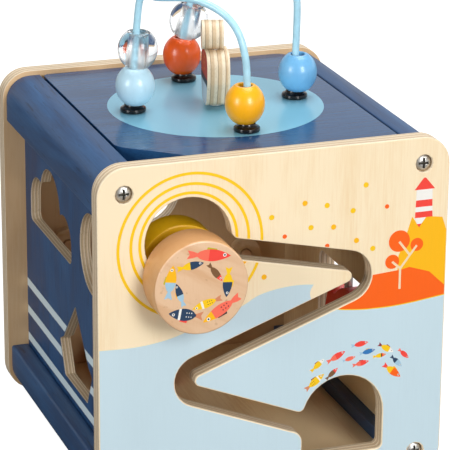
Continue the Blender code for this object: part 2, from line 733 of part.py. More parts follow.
def make_lid(lid):
    middle = RAIL_TOP - PLY / 2
    board = navy(prism("lid_board", lid_outline(), PLY))
    board.location.z = middle
    places = {"front": FOOT_FRONT, "left": FOOT_LEFT, "back": FOOT_BACK, "right": FOOT_RIGHT,
              "pin": Vector((0, 0))}
    for name, place in places.items():
        bore = upright_bore("lid_bore_" + name, place, middle, WIRE_RADIUS + GAP, 2 * PLY)
        cut(board, bore)
        ride(bore, lid)
    ride(board, lid)


def make_foot(name, place, lid):
    """A black flanged foot round the wire."""
    bore = WIRE_RADIUS + GAP
    foot = turned(name, [(bore, 0), (0.0069, 0), (0.0073, 0.0006), (0.0073, 0.0017), (0.0067, 0.0025),
                         (0.0056, 0.0029), (0.0049, 0.0035), (0.0046, FOOT_HEIGHT), (bore, FOOT_HEIGHT)],
                  16, bored=True)
    foot.location = (place.x, place.y, RAIL_TOP + GAP)
    finish(foot, (0.01, 0.01, 0.01), 0.15)
    ride(foot, lid)


def make_wire(name, first, last, heights, lid):
    """A coated wire from one foot to another, in the upright plane between them."""
    across = (last - first).normalized()
    points = [(0.0, WIRE_FOOT)] + heights + [((last - first).length, WIRE_FOOT)]
    route = [Vector((*(first + across * along), height)) for along, height in points]
    path = smooth_path(route, WIRE_STEP)
    curve = bpy.data.curves.new(name, "CURVE")
    curve.dimensions = "3D"
    curve.bevel_depth = WIRE_RADIUS
    curve.bevel_resolution = 2
    curve.use_fill_caps = True
    curve.resolution_u = 1
    curve.render_resolution_u = 0
    spline = curve.splines.new("POLY")
    spline.points.add(len(path) - 1)
    for point, place in zip(spline.points, path):
        point.co = (*place, 1.0)
    wire = bpy.data.objects.new(name, curve)
    bpy.context.collection.objects.link(wire)
    finish(wire, (0.40, 0.70, 0.82), 0.3)
    ride(wire, lid)


def bead(name, sizes, place, z, lean, toward, lid, colour, alpha=1.0):
    """A bored, slightly tall ball with flat ends; lean tips its top towards a direction."""
    across, pole, half = sizes
    start = math.acos(half / pole)
    steps = 8
    angles = [start + (math.pi - 2 * start) * i / steps for i in range(steps + 1)]
    side = [(across * math.sin(a), pole * math.cos(a)) for a in angles]
    ball = turned(name, [(BEAD_BORE, half)] + side + [(BEAD_BORE, -half)], 20, bored=True)
    ball.rotation_euler = (0, lean, math.atan2(toward.y, toward.x))
    centre = (place.x, place.y, z)
    ball.location = centre
    finish(ball, colour, 0.12, 0.0, alpha)
    ride(ball, pivot(name + "_middle", centre, lid))


def make_beads(lid):
    """Six beads; each sits a little off its wire's middle, as a loose bead does."""
    to_left = (FOOT_LEFT - FOOT_FRONT).normalized()
    to_right = (FOOT_RIGHT - FOOT_BACK).normalized()
    low = RAIL_TOP + GAP + FOOT_HEIGHT + GAP + WOODEN_BEAD[2]
    high = low + WOODEN_BEAD[2] + CLEAR_BEAD[2]
    wooden = [("bead_yellow", FOOT_FRONT + to_left * 0.0014, to_left, (1.0, 0.42, 0.0)),
              ("bead_light_blue", FOOT_LEFT - to_left * 0.0014, to_left, (0.45, 0.72, 0.88)),
              ("bead_orange", FOOT_BACK - to_right * 0.0012, to_right, (0.80, 0.09, 0.01)),
              ("bead_blue", FOOT_RIGHT + to_right * 0.0018, to_right, (0.12, 0.42, 0.80))]
    for name, place, toward, colour in wooden:
        bead(name, WOODEN_BEAD, place, low, 0, toward, lid, colour)
    clear = (0.92, 0.95, 0.96)
    bead("bead_clear_left", CLEAR_BEAD, FOOT_LEFT - to_left * 0.0032, high + 0.0008, CLEAR_LEFT_LEAN,
         -to_left, lid, clear, 0.35)
    bead("bead_clear_back", CLEAR_BEAD, FOOT_BACK + to_right * 0.0033, high + 0.0008, CLEAR_BACK_LEAN,
         to_right, lid, clear, 0.35)


# ---------------------------------------------------------------- turning figure
def body_outline():
    """The figure's body, across its own width and height: a tapered hem and round shoulders."""
    return rounded([(-0.0132, 0.0135, 0.008), (-0.0088, 0.0, 0.004), (0.0088, 0.0, 0.004),
                    (0.0132, 0.0135, 0.008), (0.0128, BODY_HEIGHT, 0.0085), (-0.0128, BODY_HEIGHT, 0.0085)])


def head_outline():
    """A round head with a small flat under it."""
    foot = BODY_HEIGHT + GAP - HEAD_CENTRE
    start = math.asin(foot / HEAD_RADIUS)
    steps = 30
    angles = [start + (math.pi - 2 * start) * i / steps for i in range(steps + 1)]
    return [Vector((HEAD_RADIUS * math.cos(a), HEAD_CENTRE + HEAD_RADIUS * math.sin(a))) for a in angles]


def figure_block(name, outline, depth, turn, shift, axis):
    """One ply block on the pin, turned about it; shift moves it across its own ply."""
    x, y = shift * math.cos(turn), shift * math.sin(turn)
    block = facing_side(prism(name, outline, depth), x, y, FIGURE_BASE)
    block.rotation_euler.z += turn
    bore = upright_bore(name + "_bore", Vector((0, 0)), FIGURE_BASE, WIRE_RADIUS + GAP,
                        2 * (PIN_TOP + GAP - FIGURE_BASE))
    cut(block, bore)
    for piece in (birch(block), bore):
        ride(piece, axis)


def make_figure(lid):
    """A body block and a head block, each turning on an upright pin with a collar."""
    pin = turned("figure_pin", [(0, PIN_TOP), (WIRE_RADIUS, PIN_TOP), (WIRE_RADIUS, RAIL_TOP + 0.0013),
                                (0.0038, RAIL_TOP + 0.0013), (0.0038, RAIL_TOP + GAP),
                                (WIRE_RADIUS, RAIL_TOP + GAP), (WIRE_RADIUS, WIRE_FOOT), (0, WIRE_FOOT)], 16)
    ride(steel(pin), lid)
    figure_block("figure_body", body_outline(), BODY_DEPTH, BODY_TURN, 0.0,
                 pivot("body_axis", (0, 0, FIGURE_BASE), lid))
    figure_block("figure_head", head_outline(), HEAD_DEPTH, HEAD_TURN, HEAD_SHIFT,
                 pivot("head_axis", (0, 0, FIGURE_BASE), lid))


# ---------------------------------------------------------------- sorting blocks
def make_block(name, outline, x, y, turn, colour):
    """A block for one cut-out, lying on the floor board; its middle is at (x, y)."""
    xs, ys = [p.x for p in outline], [p.y for p in outline]
    middle = Vector(((min(xs) + max(xs)) / 2, (min(ys) + max(ys)) / 2))
    block = prism(name, [(point - middle) * BLOCK_SHRINK for point in outline], BLOCK_DEPTH)
    block.location = (x, y, BLOCK_FLOOR + BLOCK_DEPTH / 2)
    block.rotation_euler.z = turn
    finish(block, colour, 0.35)


def make_blocks():
    make_block("block_cloud", cloud_outline(), -0.048, -0.042, -math.pi / 2, (0.45, 0.70, 0.82))
    make_block("block_sun", circle(SUN_CENTRE, SUN_RADIUS, 32), 0.045, 0.024, 0, (0.95, 0.60, 0.02))
    make_block("block_boat", boat_outline(), -0.028, 0.057, -math.pi / 2, (0.75, 0.07, 0.03))


def main():
    for thing in list(bpy.data.objects):
        bpy.data.objects.remove(thing, do_unlink=True)
    make_front_panel()
    make_back_panel()
    make_left_panel()
    make_right_panel()
    make_rails()
    make_floor()
    make_screws()
    make_slider()
    make_gears()
    lid = pivot("lid_lift_axis", (0, 0, RAIL_TOP))
    make_lid(lid)
    for name, place in (("front", FOOT_FRONT), ("left", FOOT_LEFT), ("back", FOOT_BACK),
                        ("right", FOOT_RIGHT)):
        make_foot("wire_foot_" + name, place, lid)
    make_wire("wire_front_left", FOOT_FRONT, FOOT_LEFT, FRONT_WIRE, lid)
    make_wire("wire_back_right", FOOT_BACK, FOOT_RIGHT, BACK_WIRE, lid)
    make_beads(lid)
    make_figure(lid)
    make_blocks()


main()
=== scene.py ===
"""Looks of the wooden activity cube: lacquered plywood, printed pictures, stained rails and a bead maze.

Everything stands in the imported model's frame: metres, +Z up, the track panel facing -Y.
Printed pictures are thin films of ink, drawn in millimetres in the plane of the face they lie on.
"""
import json
import math

import bmesh
import bpy
from mathutils import Matrix, Vector
from mathutils.geometry import delaunay_2d_cdt

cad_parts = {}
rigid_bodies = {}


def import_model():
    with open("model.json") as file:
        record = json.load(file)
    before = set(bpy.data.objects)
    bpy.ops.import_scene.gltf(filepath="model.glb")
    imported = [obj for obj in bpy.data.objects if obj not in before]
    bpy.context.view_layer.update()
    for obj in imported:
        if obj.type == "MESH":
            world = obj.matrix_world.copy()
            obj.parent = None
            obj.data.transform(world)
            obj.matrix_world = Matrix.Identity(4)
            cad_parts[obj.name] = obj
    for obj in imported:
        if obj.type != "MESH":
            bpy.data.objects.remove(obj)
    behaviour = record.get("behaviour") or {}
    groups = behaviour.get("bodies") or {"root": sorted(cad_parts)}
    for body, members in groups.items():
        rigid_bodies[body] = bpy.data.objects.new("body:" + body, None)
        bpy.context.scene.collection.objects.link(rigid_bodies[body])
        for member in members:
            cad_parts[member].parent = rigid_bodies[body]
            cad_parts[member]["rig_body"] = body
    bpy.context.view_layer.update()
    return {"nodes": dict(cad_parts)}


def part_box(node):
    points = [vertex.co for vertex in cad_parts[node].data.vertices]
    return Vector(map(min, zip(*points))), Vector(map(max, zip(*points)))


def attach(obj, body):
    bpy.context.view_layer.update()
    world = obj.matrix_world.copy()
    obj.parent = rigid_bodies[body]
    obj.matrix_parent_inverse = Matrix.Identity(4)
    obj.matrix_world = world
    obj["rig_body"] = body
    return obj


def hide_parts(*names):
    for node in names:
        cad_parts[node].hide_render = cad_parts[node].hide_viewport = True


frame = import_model()
nodes = frame["nodes"]

MM = 0.001
INK = 0.00005                     # thickness of a printed film
INK_GAP = 0.00002                 # between a film and the wood under it


def span(node, axis):
    """Where a CAD node starts and ends along an axis."""
    low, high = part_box(node)
    return low[axis], high[axis]


FRONT_FACE = span("front_panel", 1)[0]
LEFT_FACE = span("left_panel", 0)[0]
LID_TOP = span("lid_board", 2)[1]


# ---------------------------------------------------------------- colours
def rgb(code):
    """Linear colour from a display code such as "f7deb0"."""
    shares = [int(code[i:i + 2], 16) / 255 for i in (0, 2, 4)]
    return tuple(s / 12.92 if s <= 0.04045 else ((s + 0.055) / 1.055) ** 2.4 for s in shares)


def rgba(code):
    return (*rgb(code), 1.0)


# ---------------------------------------------------------------- material building
class Look:
    """One procedural material; each call adds a node and returns its output."""

    def __init__(self, name):
        self.material = bpy.data.materials.new(name)
        self.material.use_nodes = True
        self.tree = self.material.node_tree
        self.shader = self.tree.nodes["Principled BSDF"]

    def add(self, kind, inputs, **settings):
        node = self.tree.nodes.new(kind)
        for key, value in settings.items():
            setattr(node, key, value)
        for key, value in inputs.items():
            self.feed(node.inputs[key], value)
        return node

    def feed(self, socket, value):
        if isinstance(value, bpy.types.NodeSocket):
            self.tree.links.new(value, socket)
        else:
            socket.default_value = value

    def surface(self, **inputs):
        for key, value in inputs.items():
            self.feed(self.shader.inputs[key.replace("_", " ")], value)
        return self.material

    def coordinates(self, stretch=(1, 1, 1), turn=0.0):
        """Places on the piece itself, so that the pattern moves with it."""
        source = self.add("ShaderNodeTexCoord", {}).outputs["Object"]
        if turn:
            source = self.add("ShaderNodeMapping", {"Vector": source, "Rotation": (0, 0, turn)}).outputs[0]
        return self.add("ShaderNodeMapping", {"Vector": source, "Scale": stretch}).outputs[0]

    def noise(self, place, scale, detail=4.0, roughness=0.55, distortion=0.0):
        return self.add("ShaderNodeTexNoise", {"Vector": place, "Scale": scale, "Detail": detail,
                                               "Roughness": roughness, "Distortion": distortion}).outputs[0]

    def math(self, operation, *values):
        inputs = {i: value for i, value in enumerate(values)}
        return self.add("ShaderNodeMath", inputs, operation=operation).outputs[0]

    def fit(self, value, low, high, new_low=0.0, new_high=1.0):
        """A value carried from one range to another, held at its ends."""
        return self.add("ShaderNodeMapRange", {"Value": value, "From Min": low, "From Max": high,
                                               "To Min": new_low, "To Max": new_high}).outputs[0]

    def mix(self, share, first, second, blend="MIX"):
        node = self.add("ShaderNodeMix", {0: share}, data_type="RGBA", blend_type=blend)
        self.feed(node.inputs[6], first)
        self.feed(node.inputs[7], second)
        return node.outputs[2]

    def ramp(self, value, stops, interpolation="LINEAR"):
        node = self.add("ShaderNodeValToRGB", {0: value})
        node.color_ramp.interpolation = interpolation
        elements = node.color_ramp.elements
        while len(elements) < len(stops):
            elements.new(1.0)
        for element, (place, colour) in zip(elements, stops):
            element.position = place
            element.color = colour
        return node.outputs[0]

    def axis_share(self, axis, turn=0.0):
        """1 where the surface faces along an axis of the piece, 0 on its edges."""
        normal = self.add("ShaderNodeTexCoord", {}).outputs["Normal"]
        if turn:
            normal = self.add("ShaderNodeMapping", {"Vector": normal, "Rotation": (0, 0, turn)}).outputs[0]
        part = self.add("ShaderNodeSeparateXYZ", {0: normal}).outputs[axis]
        return part

    def bump(self, height, distance, strength=1.0):
        return self.add("ShaderNodeBump", {"Height": height, "Distance": distance,
                                           "Strength": strength}).outputs[0]


def stretched(along, amount=0.07):
    """A scale that draws a pattern out along one axis: the way the grain runs."""
    scale = [1.0, 1.0, 1.0]
    scale[along] = amount
    return tuple(scale)


def veneer(look, along, light, dark, turn=0.0):
    """Colour and height of a close-grained veneer."""
    place = look.coordinates(stretched(along, 0.05), turn)
    wide = look.coordinates(stretched(along, 0.25), turn)
    fine = look.noise(place, 900, 5, 0.65)
    broad = look.noise(wide, 34, 3, 0.5, 0.6)
    pores = look.fit(look.noise(look.coordinates(stretched(along, 0.02), turn), 1700, 2), 0.64, 0.74)
    tone = look.math("ADD", look.math("MULTIPLY", fine, 0.45), look.math("MULTIPLY", broad, 0.55))
    colour = look.ramp(look.fit(tone, 0.34, 0.66), [(0.0, dark), (0.55, light), (1.0, light)])
    colour = look.mix(look.math("MULTIPLY", pores, 0.22), colour, dark)
    return colour, look.math("SUBTRACT", fine, pores)


def plies(look, axis, low, high, turn=0.0):
    """Colour of a cut plywood edge: thin layers with their grain turned about."""
    place = look.coordinates((1, 1, 1), turn)
    depth = look.add("ShaderNodeSeparateXYZ", {0: place}).outputs[axis]
    wander = look.math("MULTIPLY", look.math("SUBTRACT", look.noise(place, 60, 2), 0.5), 0.0005)
    share = look.fit(look.math("ADD", depth, wander), low, high)
    light, tan, brown = rgba("ead9bd"), rgba("d3b995"), rgba("8d6f52")
    layers = [(0.0, light), (0.13, light), (0.15, brown), (0.18, tan), (0.30, tan), (0.33, light),
              (0.45, light), (0.475, brown), (0.50, tan), (0.63, tan), (0.66, light), (0.78, light),
              (0.805, brown), (0.84, tan), (0.90, tan), (0.92, light)]
    colour = look.ramp(share, layers)
    fibres = look.noise(look.coordinates(stretched(axis, 3.0), turn), 700, 3, 0.7)
    return look.mix(look.fit(fibres, 0.52, 0.75, 0.0, 0.45), colour, brown), fibres


def plywood(name, axis, low, high, grain=2, turn=0.0, light="fce8c4", dark="f5daaf", rear=None):
    """Lacquered birch ply: veneer on its two faces and layers on its edges.

    rear is a painted shade tint, multiplied into the face that looks back along the axis, such as the shaded
    inner face of the back panel.
    """
    look = Look(name)
    face, grain_height = veneer(look, grain, rgba(light), rgba(dark), turn)
    edge, fibres = plies(look, axis, low, high, turn)
    share = look.fit(look.math("ABSOLUTE", look.axis_share(axis, turn)), 0.80, 0.90)
    colour = look.mix(share, edge, face)
    # painted shade: the rear tint darkens the face that looks back along the axis
    if rear:
        painted_shade_share = look.fit(look.axis_share(axis, turn), -0.90, -0.80, 1.0, 0.0)
        colour = look.mix(painted_shade_share, colour, rgba(rear), "MULTIPLY")
    height = look.math("ADD", look.math("MULTIPLY", grain_height, 0.4), look.math("MULTIPLY", fibres, 0.6))
    return look.surface(Base_Color=colour, Roughness=look.fit(fibres, 0.3, 0.7, 0.38, 0.48),
                        Normal=look.bump(height, 0.00004, 0.5))


def stain(look, along, turn=0.0):
    """Colour, height and roughness of navy stain on open-grained wood."""
    fine = look.noise(look.coordinates(stretched(along, 0.05), turn), 800, 6, 0.7)
    broad = look.noise(look.coordinates(stretched(along, 0.16), turn), 38, 4, 0.6, 1.2)
    dashes = look.fit(look.noise(look.coordinates(stretched(along, 0.08), turn), 520, 2), 0.63, 0.70)
    blotches = look.fit(look.noise(look.coordinates(stretched(along, 0.5), turn), 55, 5, 0.7), 0.66, 0.80)
    colour = look.ramp(look.fit(look.math("ADD", look.math("MULTIPLY", fine, 0.4),
                                          look.math("MULTIPLY", broad, 0.6)), 0.36, 0.64),
                       [(0.0, rgba("1a385f")), (0.5, rgba("234a76")), (1.0, rgba("315b88"))])
    colour = look.mix(look.math("MULTIPLY", dashes, 0.55), colour, rgba("0c1c38"))
    colour = look.mix(look.math("MULTIPLY", blotches, 0.40), colour, rgba("102a50"))
    return colour, look.math("SUBTRACT", fine, dashes), look.fit(broad, 0.3, 0.7, 0.34, 0.46)


def stained_wood(name, along):
    look = Look(name)
    colour, height, roughness = stain(look, along)
    return look.surface(Base_Color=colour, Roughness=roughness, Normal=look.bump(height, 0.00005, 0.5))


def stained_lid(name, along):
    """Navy stain under a smooth, slightly shiny lacquer."""
    look = Look(name)
    colour, height, _ = stain(look, along)
    colour = look.mix(0.35, colour, rgba("1f4a74"))
    gloss = look.fit(look.noise(look.coordinates(), 30, 2), 0.3, 0.7, 0.15, 0.21)
    return look.surface(Base_Color=colour, Roughness=gloss, Normal=look.bump(height, 0.00002, 0.3))


def stained_ply(name, axis, low, high, outward, grain):
    """Ply that is stained on its outer face only, with bare cut-outs and a bare inner face."""
    look = Look(name)
    navy, grain_height, roughness = stain(look, grain)
    bare, _ = veneer(look, grain, rgba("f0d3a4"), rgba("dcb27c"))
    edge, fibres = plies(look, axis, low, high)
    facing = look.math("MULTIPLY", look.axis_share(axis), outward)
    colour = look.mix(look.fit(look.math("ABSOLUTE", facing), 0.80, 0.90), edge, bare)
    colour = look.mix(look.fit(facing, 0.70, 0.80), colour, navy)
    return look.surface(Base_Color=colour, Roughness=roughness, Specular_IOR_Level=0.30,
                        Normal=look.bump(look.math("ADD", grain_height, fibres), 0.00005, 0.5))


def lacquer(name, code, roughness=0.34, coat=0.35, grain=2):
    """Coloured lacquer on turned or sawn wood; a little of the grain shows through."""
    look = Look(name)
    base = rgba(code)
    deep = (base[0] * 0.80, base[1] * 0.80, base[2] * 0.80, 1.0)
    lines = look.noise(look.coordinates(stretched(grain, 0.12)), 420, 4, 0.6)
    cloud = look.noise(look.coordinates(), 60, 2)
    colour = look.mix(look.fit(lines, 0.50, 0.80, 0.0, 0.5), base, deep)
    height = look.math("ADD", look.math("MULTIPLY", lines, 0.5), cloud)
    return look.surface(Base_Color=colour, Roughness=look.fit(cloud, 0.3, 0.7, roughness - 0.04,
                                                              roughness + 0.04),
                        Coat_Weight=coat, Coat_Roughness=0.18, Normal=look.bump(height, 0.00005, 0.35))


def beech(name, light="e9c29c", dark="dcae84", rim=None):
    """Beech: warm, with short dark flecks and soft rings; rim is the colour of a turned piece's side."""
    look = Look(name)
    rings = look.noise(look.coordinates((0.20, 1.0, 1.0), 0.5), 95, 3, 0.5, 0.4)
    fine = look.noise(look.coordinates((1.0, 0.10, 1.0)), 900, 4, 0.7)
    flecks = look.fit(look.noise(look.coordinates((0.22, 0.22, 1.0), 0.0), 900, 2), 0.66, 0.74)
    colour = look.ramp(look.fit(rings, 0.35, 0.65),
                       [(0.0, rgba(dark)), (0.6, rgba(light)), (1.0, rgba(light))])
    colour = look.mix(look.fit(fine, 0.5, 0.8, 0.0, 0.35), colour, rgba(dark))
    colour = look.mix(look.math("MULTIPLY", flecks, 0.45), colour, rgba("a86f45"))
    if rim:
        side = look.fit(look.math("ABSOLUTE", look.axis_share(2)), 0.45, 0.75, 0.75, 0.0)
        colour = look.mix(side, colour, rgba(rim))
    return look.surface(Base_Color=colour, Roughness=look.fit(fine, 0.3, 0.7, 0.34, 0.44), Coat_Weight=0.25,
                        Coat_Roughness=0.2, Normal=look.bump(fine, 0.00004, 0.4))


def plastic(name, code, roughness):
    look = Look(name)
    cloud = look.noise(look.coordinates(), 240, 3)
    base = rgba(code)
    lighter = tuple(min(1.0, share * 1.12 + 0.004) for share in base[:3]) + (1.0,)
    return look.surface(Base_Color=look.mix(look.fit(cloud, 0.4, 0.7), base, lighter),
                        Roughness=look.fit(cloud, 0.3, 0.7, roughness - 0.03, roughness + 0.03),
                        Normal=look.bump(cloud, 0.00002, 0.3))


def acrylic(name, roughness=0.02):
    """Clear acrylic with a few faint flow lines; a drilled bore in it is rough."""
    look = Look(name)
    flow = look.noise(look.coordinates((1, 1, 0.4)), 90, 2, 0.5, 1.0)
    return look.surface(Base_Color=look.ramp(flow, [(0.3, rgba("f4f8fa")), (0.7, rgba("ffffff"))]),
                        Roughness=roughness, IOR=1.49, Transmission_Weight=1.0,
                        Normal=look.bump(flow, 0.0002, 0.15))


def nickel(name, dark="d2cfc9", light="ebe9e4"):
    look = Look(name)
    scratches = look.noise(look.coordinates((1, 0.2, 1)), 1500, 4, 0.7)
    tarnish = look.noise(look.coordinates(), 160, 3)
    return look.surface(Base_Color=look.ramp(tarnish, [(0.35, rgba(dark)), (0.65, rgba(light))]),
                        Metallic=1.0, Roughness=look.fit(scratches, 0.3, 0.7, 0.36, 0.46),
                        Normal=look.bump(scratches, 0.00001, 0.3))


def ink(name, code, grain=2, cover=0.85, gloss=0.42):
    """Printed ink, just thin enough for the grain to show."""
    look = Look(name)
    base = rgba(code)
    deep = (base[0] * 0.86, base[1] * 0.86, base[2] * 0.86, 1.0)
    fine = look.noise(look.coordinates(stretched(grain, 0.05)), 900, 5, 0.65)
    broad = look.noise(look.coordinates(stretched(grain, 0.25)), 34, 3, 0.5, 0.6)
    tone = look.math("ADD", look.math("MULTIPLY", fine, 0.5), look.math("MULTIPLY", broad, 0.5))
    colour = look.mix(look.fit(tone, 0.45, 0.75, 0.0, 2.0 * (1.0 - cover)), base, deep)
    return look.surface(Base_Color=colour, Roughness=look.fit(broad, 0.3, 0.7, gloss - 0.04, gloss + 0.04),
                        Normal=look.bump(fine, 0.00002, 0.3))


# ---------------------------------------------------------------- outlines, in the plane of a face
def circle(x, y, radius, points=64):
    angles = [math.tau * i / points for i in range(points)]
    return [Vector((x + radius * math.cos(a), y + radius * math.sin(a))) for a in angles]


def corners(*places):
    return [Vector(place) for place in places]


def flowing(places, step=1.5, closed=False):
    """Points along a smooth curve through the given places."""
    points = [Vector(place) for place in places]
    count = len(points)
    path = []
    for i in range(count if closed else count - 1):
        a, b = points[i], points[(i + 1) % count]
        before = points[i - 1] if i or closed else 2 * a - b
        after = points[(i + 2) % count] if i + 2 < count or closed else 2 * b - a
        steps = max(1, round((b - a).length / step))
        for j in range(steps):
            t = j / steps
            path.append(0.5 * (2 * a + (b - before) * t + (2 * before - 5 * a + 4 * b - after) * t ** 2
                               + (3 * a - before - 3 * b + after) * t ** 3))
    return path if closed else path + [points[-1]]


def stroke(places, width):
    """The outline of a line with square ends."""
    points = [Vector(place) for place in places]
    left, right = [], []
    for i, point in enumerate(points):
        ahead = points[min(i + 1, len(points) - 1)] - points[max(i - 1, 0)]
        side = Vector((-ahead.y, ahead.x)).normalized() * width / 2
        left.append(point + side)
        right.append(point - side)
    return left + right[::-1]


def inside(point, loops):
    """Whether a point is in an area bounded by one or more loops."""
    odd = False
    for loop in loops:
        before = loop[-1]
        for here in loop:
            if (here.y > point.y) != (before.y > point.y):
                if point.x < (before.x - here.x) * (point.y - here.y) / (before.y - here.y) + here.x:
                    odd = not odd
            before = here
    return odd


def reach(loops):
    xs = [point.x for loop in loops for point in loop]
    ys = [point.y for loop in loops for point in loop]
    return min(xs), max(xs), min(ys), max(ys)


# ---------------------------------------------------------------- pieces
def new_piece(name, bm, materials):
    bmesh.ops.recalc_face_normals(bm, faces=bm.faces)
    mesh = bpy.data.meshes.new(name)
    bm.to_mesh(mesh)
    bm.free()
    piece = bpy.data.objects.new(name, mesh)
    bpy.context.scene.collection.objects.link(piece)
    for material in materials:
        mesh.materials.append(material)
    return piece


def smooth(piece, degrees=32):
    piece.data.shade_smooth()
    piece.data.set_sharp_from_angle(angle=math.radians(degrees))
    return piece


def ease(piece, width, segments=2, degrees=32):
    """Round off a piece's sharp edges by a width."""
    bevel = piece.modifiers.new("eased edges", "BEVEL")
    bevel.width = width
    bevel.segments = segments
    bevel.limit_method = "ANGLE"
    bevel.angle_limit = math.radians(degrees)
    bevel.use_clamp_overlap = True
    bevel.harden_normals = True
    return smooth(piece, degrees)


def stands_for(piece, *names):
    """A piece that rides with the CAD nodes that it replaces, which it hides."""
    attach(piece, nodes[names[0]]["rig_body"])
    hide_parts(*names)
    return piece


def refined(node, material, width=0.0005, segments=2, degrees=32):
    """A copy of a CAD node with its edges eased and its curves shaded smooth."""
    bm = bmesh.new()
    bm.from_mesh(nodes[node].data)
    bmesh.ops.remove_doubles(bm, verts=bm.verts, dist=0.000002)
    bmesh.ops.dissolve_limit(bm, angle_limit=math.radians(0.5), verts=bm.verts, edges=bm.edges)
    for face in bm.faces:
        face.material_index = 0
    piece = new_piece(node + "_eased", bm, [material])
    ease(piece, width, segments, degrees)
    return stands_for(piece, node)


def turned(name, profile, materials, segments=72, bored=False):
    """A profile of (radius, height) in mm, turned about local Z.

    A bored one closes on itself, and its bore takes the last of its materials.
    """
    bm = bmesh.new()
    rings = []
    for radius, height in profile:
        if radius == 0:
            rings.append([bm.verts.new((0, 0, height * MM))])
            continue
        angles = [math.tau * i / segments for i in range(segments)]
        rings.append([bm.verts.new((radius * MM * math.cos(a), radius * MM * math.sin(a), height * MM))
                      for a in angles])
    pairs = list(zip(rings, rings[1:]))
    if bored:
        pairs.append((rings[-1], rings[0]))
    for first, second in pairs:
        for i in range(segments):
            quad = [first[i % len(first)], first[(i + 1) % len(first)],
                    second[(i + 1) % len(second)], second[i % len(second)]]
            face = bm.faces.new(dict.fromkeys(quad))
            face.material_index = len(materials) - 1 if first is rings[-1] else 0
    return smooth(new_piece(name, bm, materials))


def arc(x, y, radius, start, end, steps):
    """Profile points on an arc, angles in degrees."""
    angles = [math.radians(start + (end - start) * i / steps) for i in range(steps + 1)]
    return [(x + radius * math.cos(a), y + radius * math.sin(a)) for a in angles]


def middle_of(node):
    low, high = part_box(node)
    return (low + high) / 2


# ways of laying a drawing's (across, up) plane on a face, as local X, Y and Z
TO_FRONT = Matrix.Rotation(math.pi / 2, 4, "X")
TO_BACK = Matrix.Rotation(-math.pi / 2, 4, "X")


def film(name, placing, layers, keep, body):
    """Printed areas as one thin closed skin.

    layers is a list of (loops, material), later ones on top; keep is a list of loops that bound the face.
    The drawing is in mm; placing carries it, in metres, onto the face, with local +Z pointing out.
    """
    points, edges = [], []
    for loops in [keep] + [loops for loops, _ in layers]:
        for loop in loops:
            first = len(points)
            points += loop
            edges += [(first + i, first + (i + 1) % len(loop)) for i in range(len(loop))]
    places, _, triangles, _, _, _ = delaunay_2d_cdt(points, edges, [], 0, 0.0005)
    boxes = [reach(loops) for loops, _ in layers]
    bm = bmesh.new()
    low = [bm.verts.new((p.x * MM, p.y * MM, INK_GAP)) for p in places]
    for triangle in triangles:
        centre = sum((places[i] for i in triangle), Vector((0, 0))) / 3
        if not inside(centre, keep):
            continue
        for i in reversed(range(len(layers))):
            left, right, bottom, top = boxes[i]
            if left < centre.x < right and bottom < centre.y < top and inside(centre, layers[i][0]):
                bm.faces.new([low[j] for j in triangle]).material_index = i
                break
    bmesh.ops.delete(bm, geom=[v for v in bm.verts if not v.link_faces], context="VERTS")
    palette = list(dict.fromkeys(material for _, material in layers))
    for face in bm.faces:
        face.material_index = palette.index(layers[face.material_index][1])
    bmesh.ops.dissolve_limit(bm, angle_limit=math.radians(0.5), verts=bm.verts, edges=bm.edges,
                             delimit={"MATERIAL"})
    for face in bm.faces:
        if face.normal.z < 0:
            face.normal_flip()
    mesh = bpy.data.meshes.new(name)
    bm.to_mesh(mesh)
    bm.free()
    piece = bpy.data.objects.new(name, mesh)
    bpy.context.scene.collection.objects.link(piece)
    for material in palette:
        mesh.materials.append(material)
    mesh.transform(placing)
    solid = piece.modifiers.new("ink", "SOLIDIFY")
    solid.thickness = INK
    solid.offset = 1.0
    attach(piece, body)
    return piece


def face_loops(node, axis, level, flat):
    """The loops that bound a CAD node's flat face, in mm in the drawing's plane."""
    bm = bmesh.new()
    bm.from_mesh(nodes[node].data)
    bmesh.ops.remove_doubles(bm, verts=bm.verts, dist=0.000002)
    on_face = {f for f in bm.faces if abs(f.normal[axis]) > 0.99
               and all(abs(v.co[axis] - level) < 0.00002 for v in f.verts)}
    onward = {}
    for face in on_face:
        for loop in face.loops:
            if not any(f in on_face for f in loop.edge.link_faces if f is not face):
                onward[loop.vert.index] = (loop.link_loop_next.vert.index, flat(loop.vert.co))
    loops = []
    while onward:
        start = next(iter(onward))
        here, loop = start, []
        while here in onward:
            after, place = onward.pop(here)
            loop.append(place / MM)
            here = after
        loops.append(loop)
    bm.free()
    return loops


def inset(loops, distance):
    """Loops moved into the face that they bound, by a distance in mm."""
    moved = []
    for loop in loops:
        result = []
        for i, point in enumerate(loop):
            first = (point - loop[i - 1]).normalized()
            second = (loop[(i + 1) % len(loop)] - point).normalized()
            normals = Vector((-first.y, first.x)), Vector((-second.y, second.x))
            share = max(0.3, 1 + normals[0].dot(normals[1]))
            result.append(point + (normals[0] + normals[1]) * distance / share)
        moved.append(result)
    return moved


# ---------------------------------------------------------------- camera, lights and floor
def set_camera():
    """The viewing angle: from in front, to the left and above."""
    yaw, pitch, roll = 0.34086, 0.33920, 0.00744
    ahead = Vector((math.sin(yaw) * math.cos(pitch), math.cos(yaw) * math.cos(pitch), -math.sin(pitch)))
    level = Vector((math.cos(yaw), -math.sin(yaw), 0))
    above = level.cross(ahead)
    right = math.cos(roll) * level + math.sin(roll) * above
    up = math.cos(roll) * above - math.sin(roll) * level
    data = bpy.data.cameras.new("camera")
    data.lens = 207.22
    data.sensor_width = 36.0
    camera = bpy.data.objects.new("camera", data)
    camera.matrix_world = Matrix((right, up, -ahead)).transposed().to_4x4()
    camera.location = (-0.46198, -1.31993, 0.61913)
    bpy.context.scene.collection.objects.link(camera)
    bpy.context.scene.camera = camera


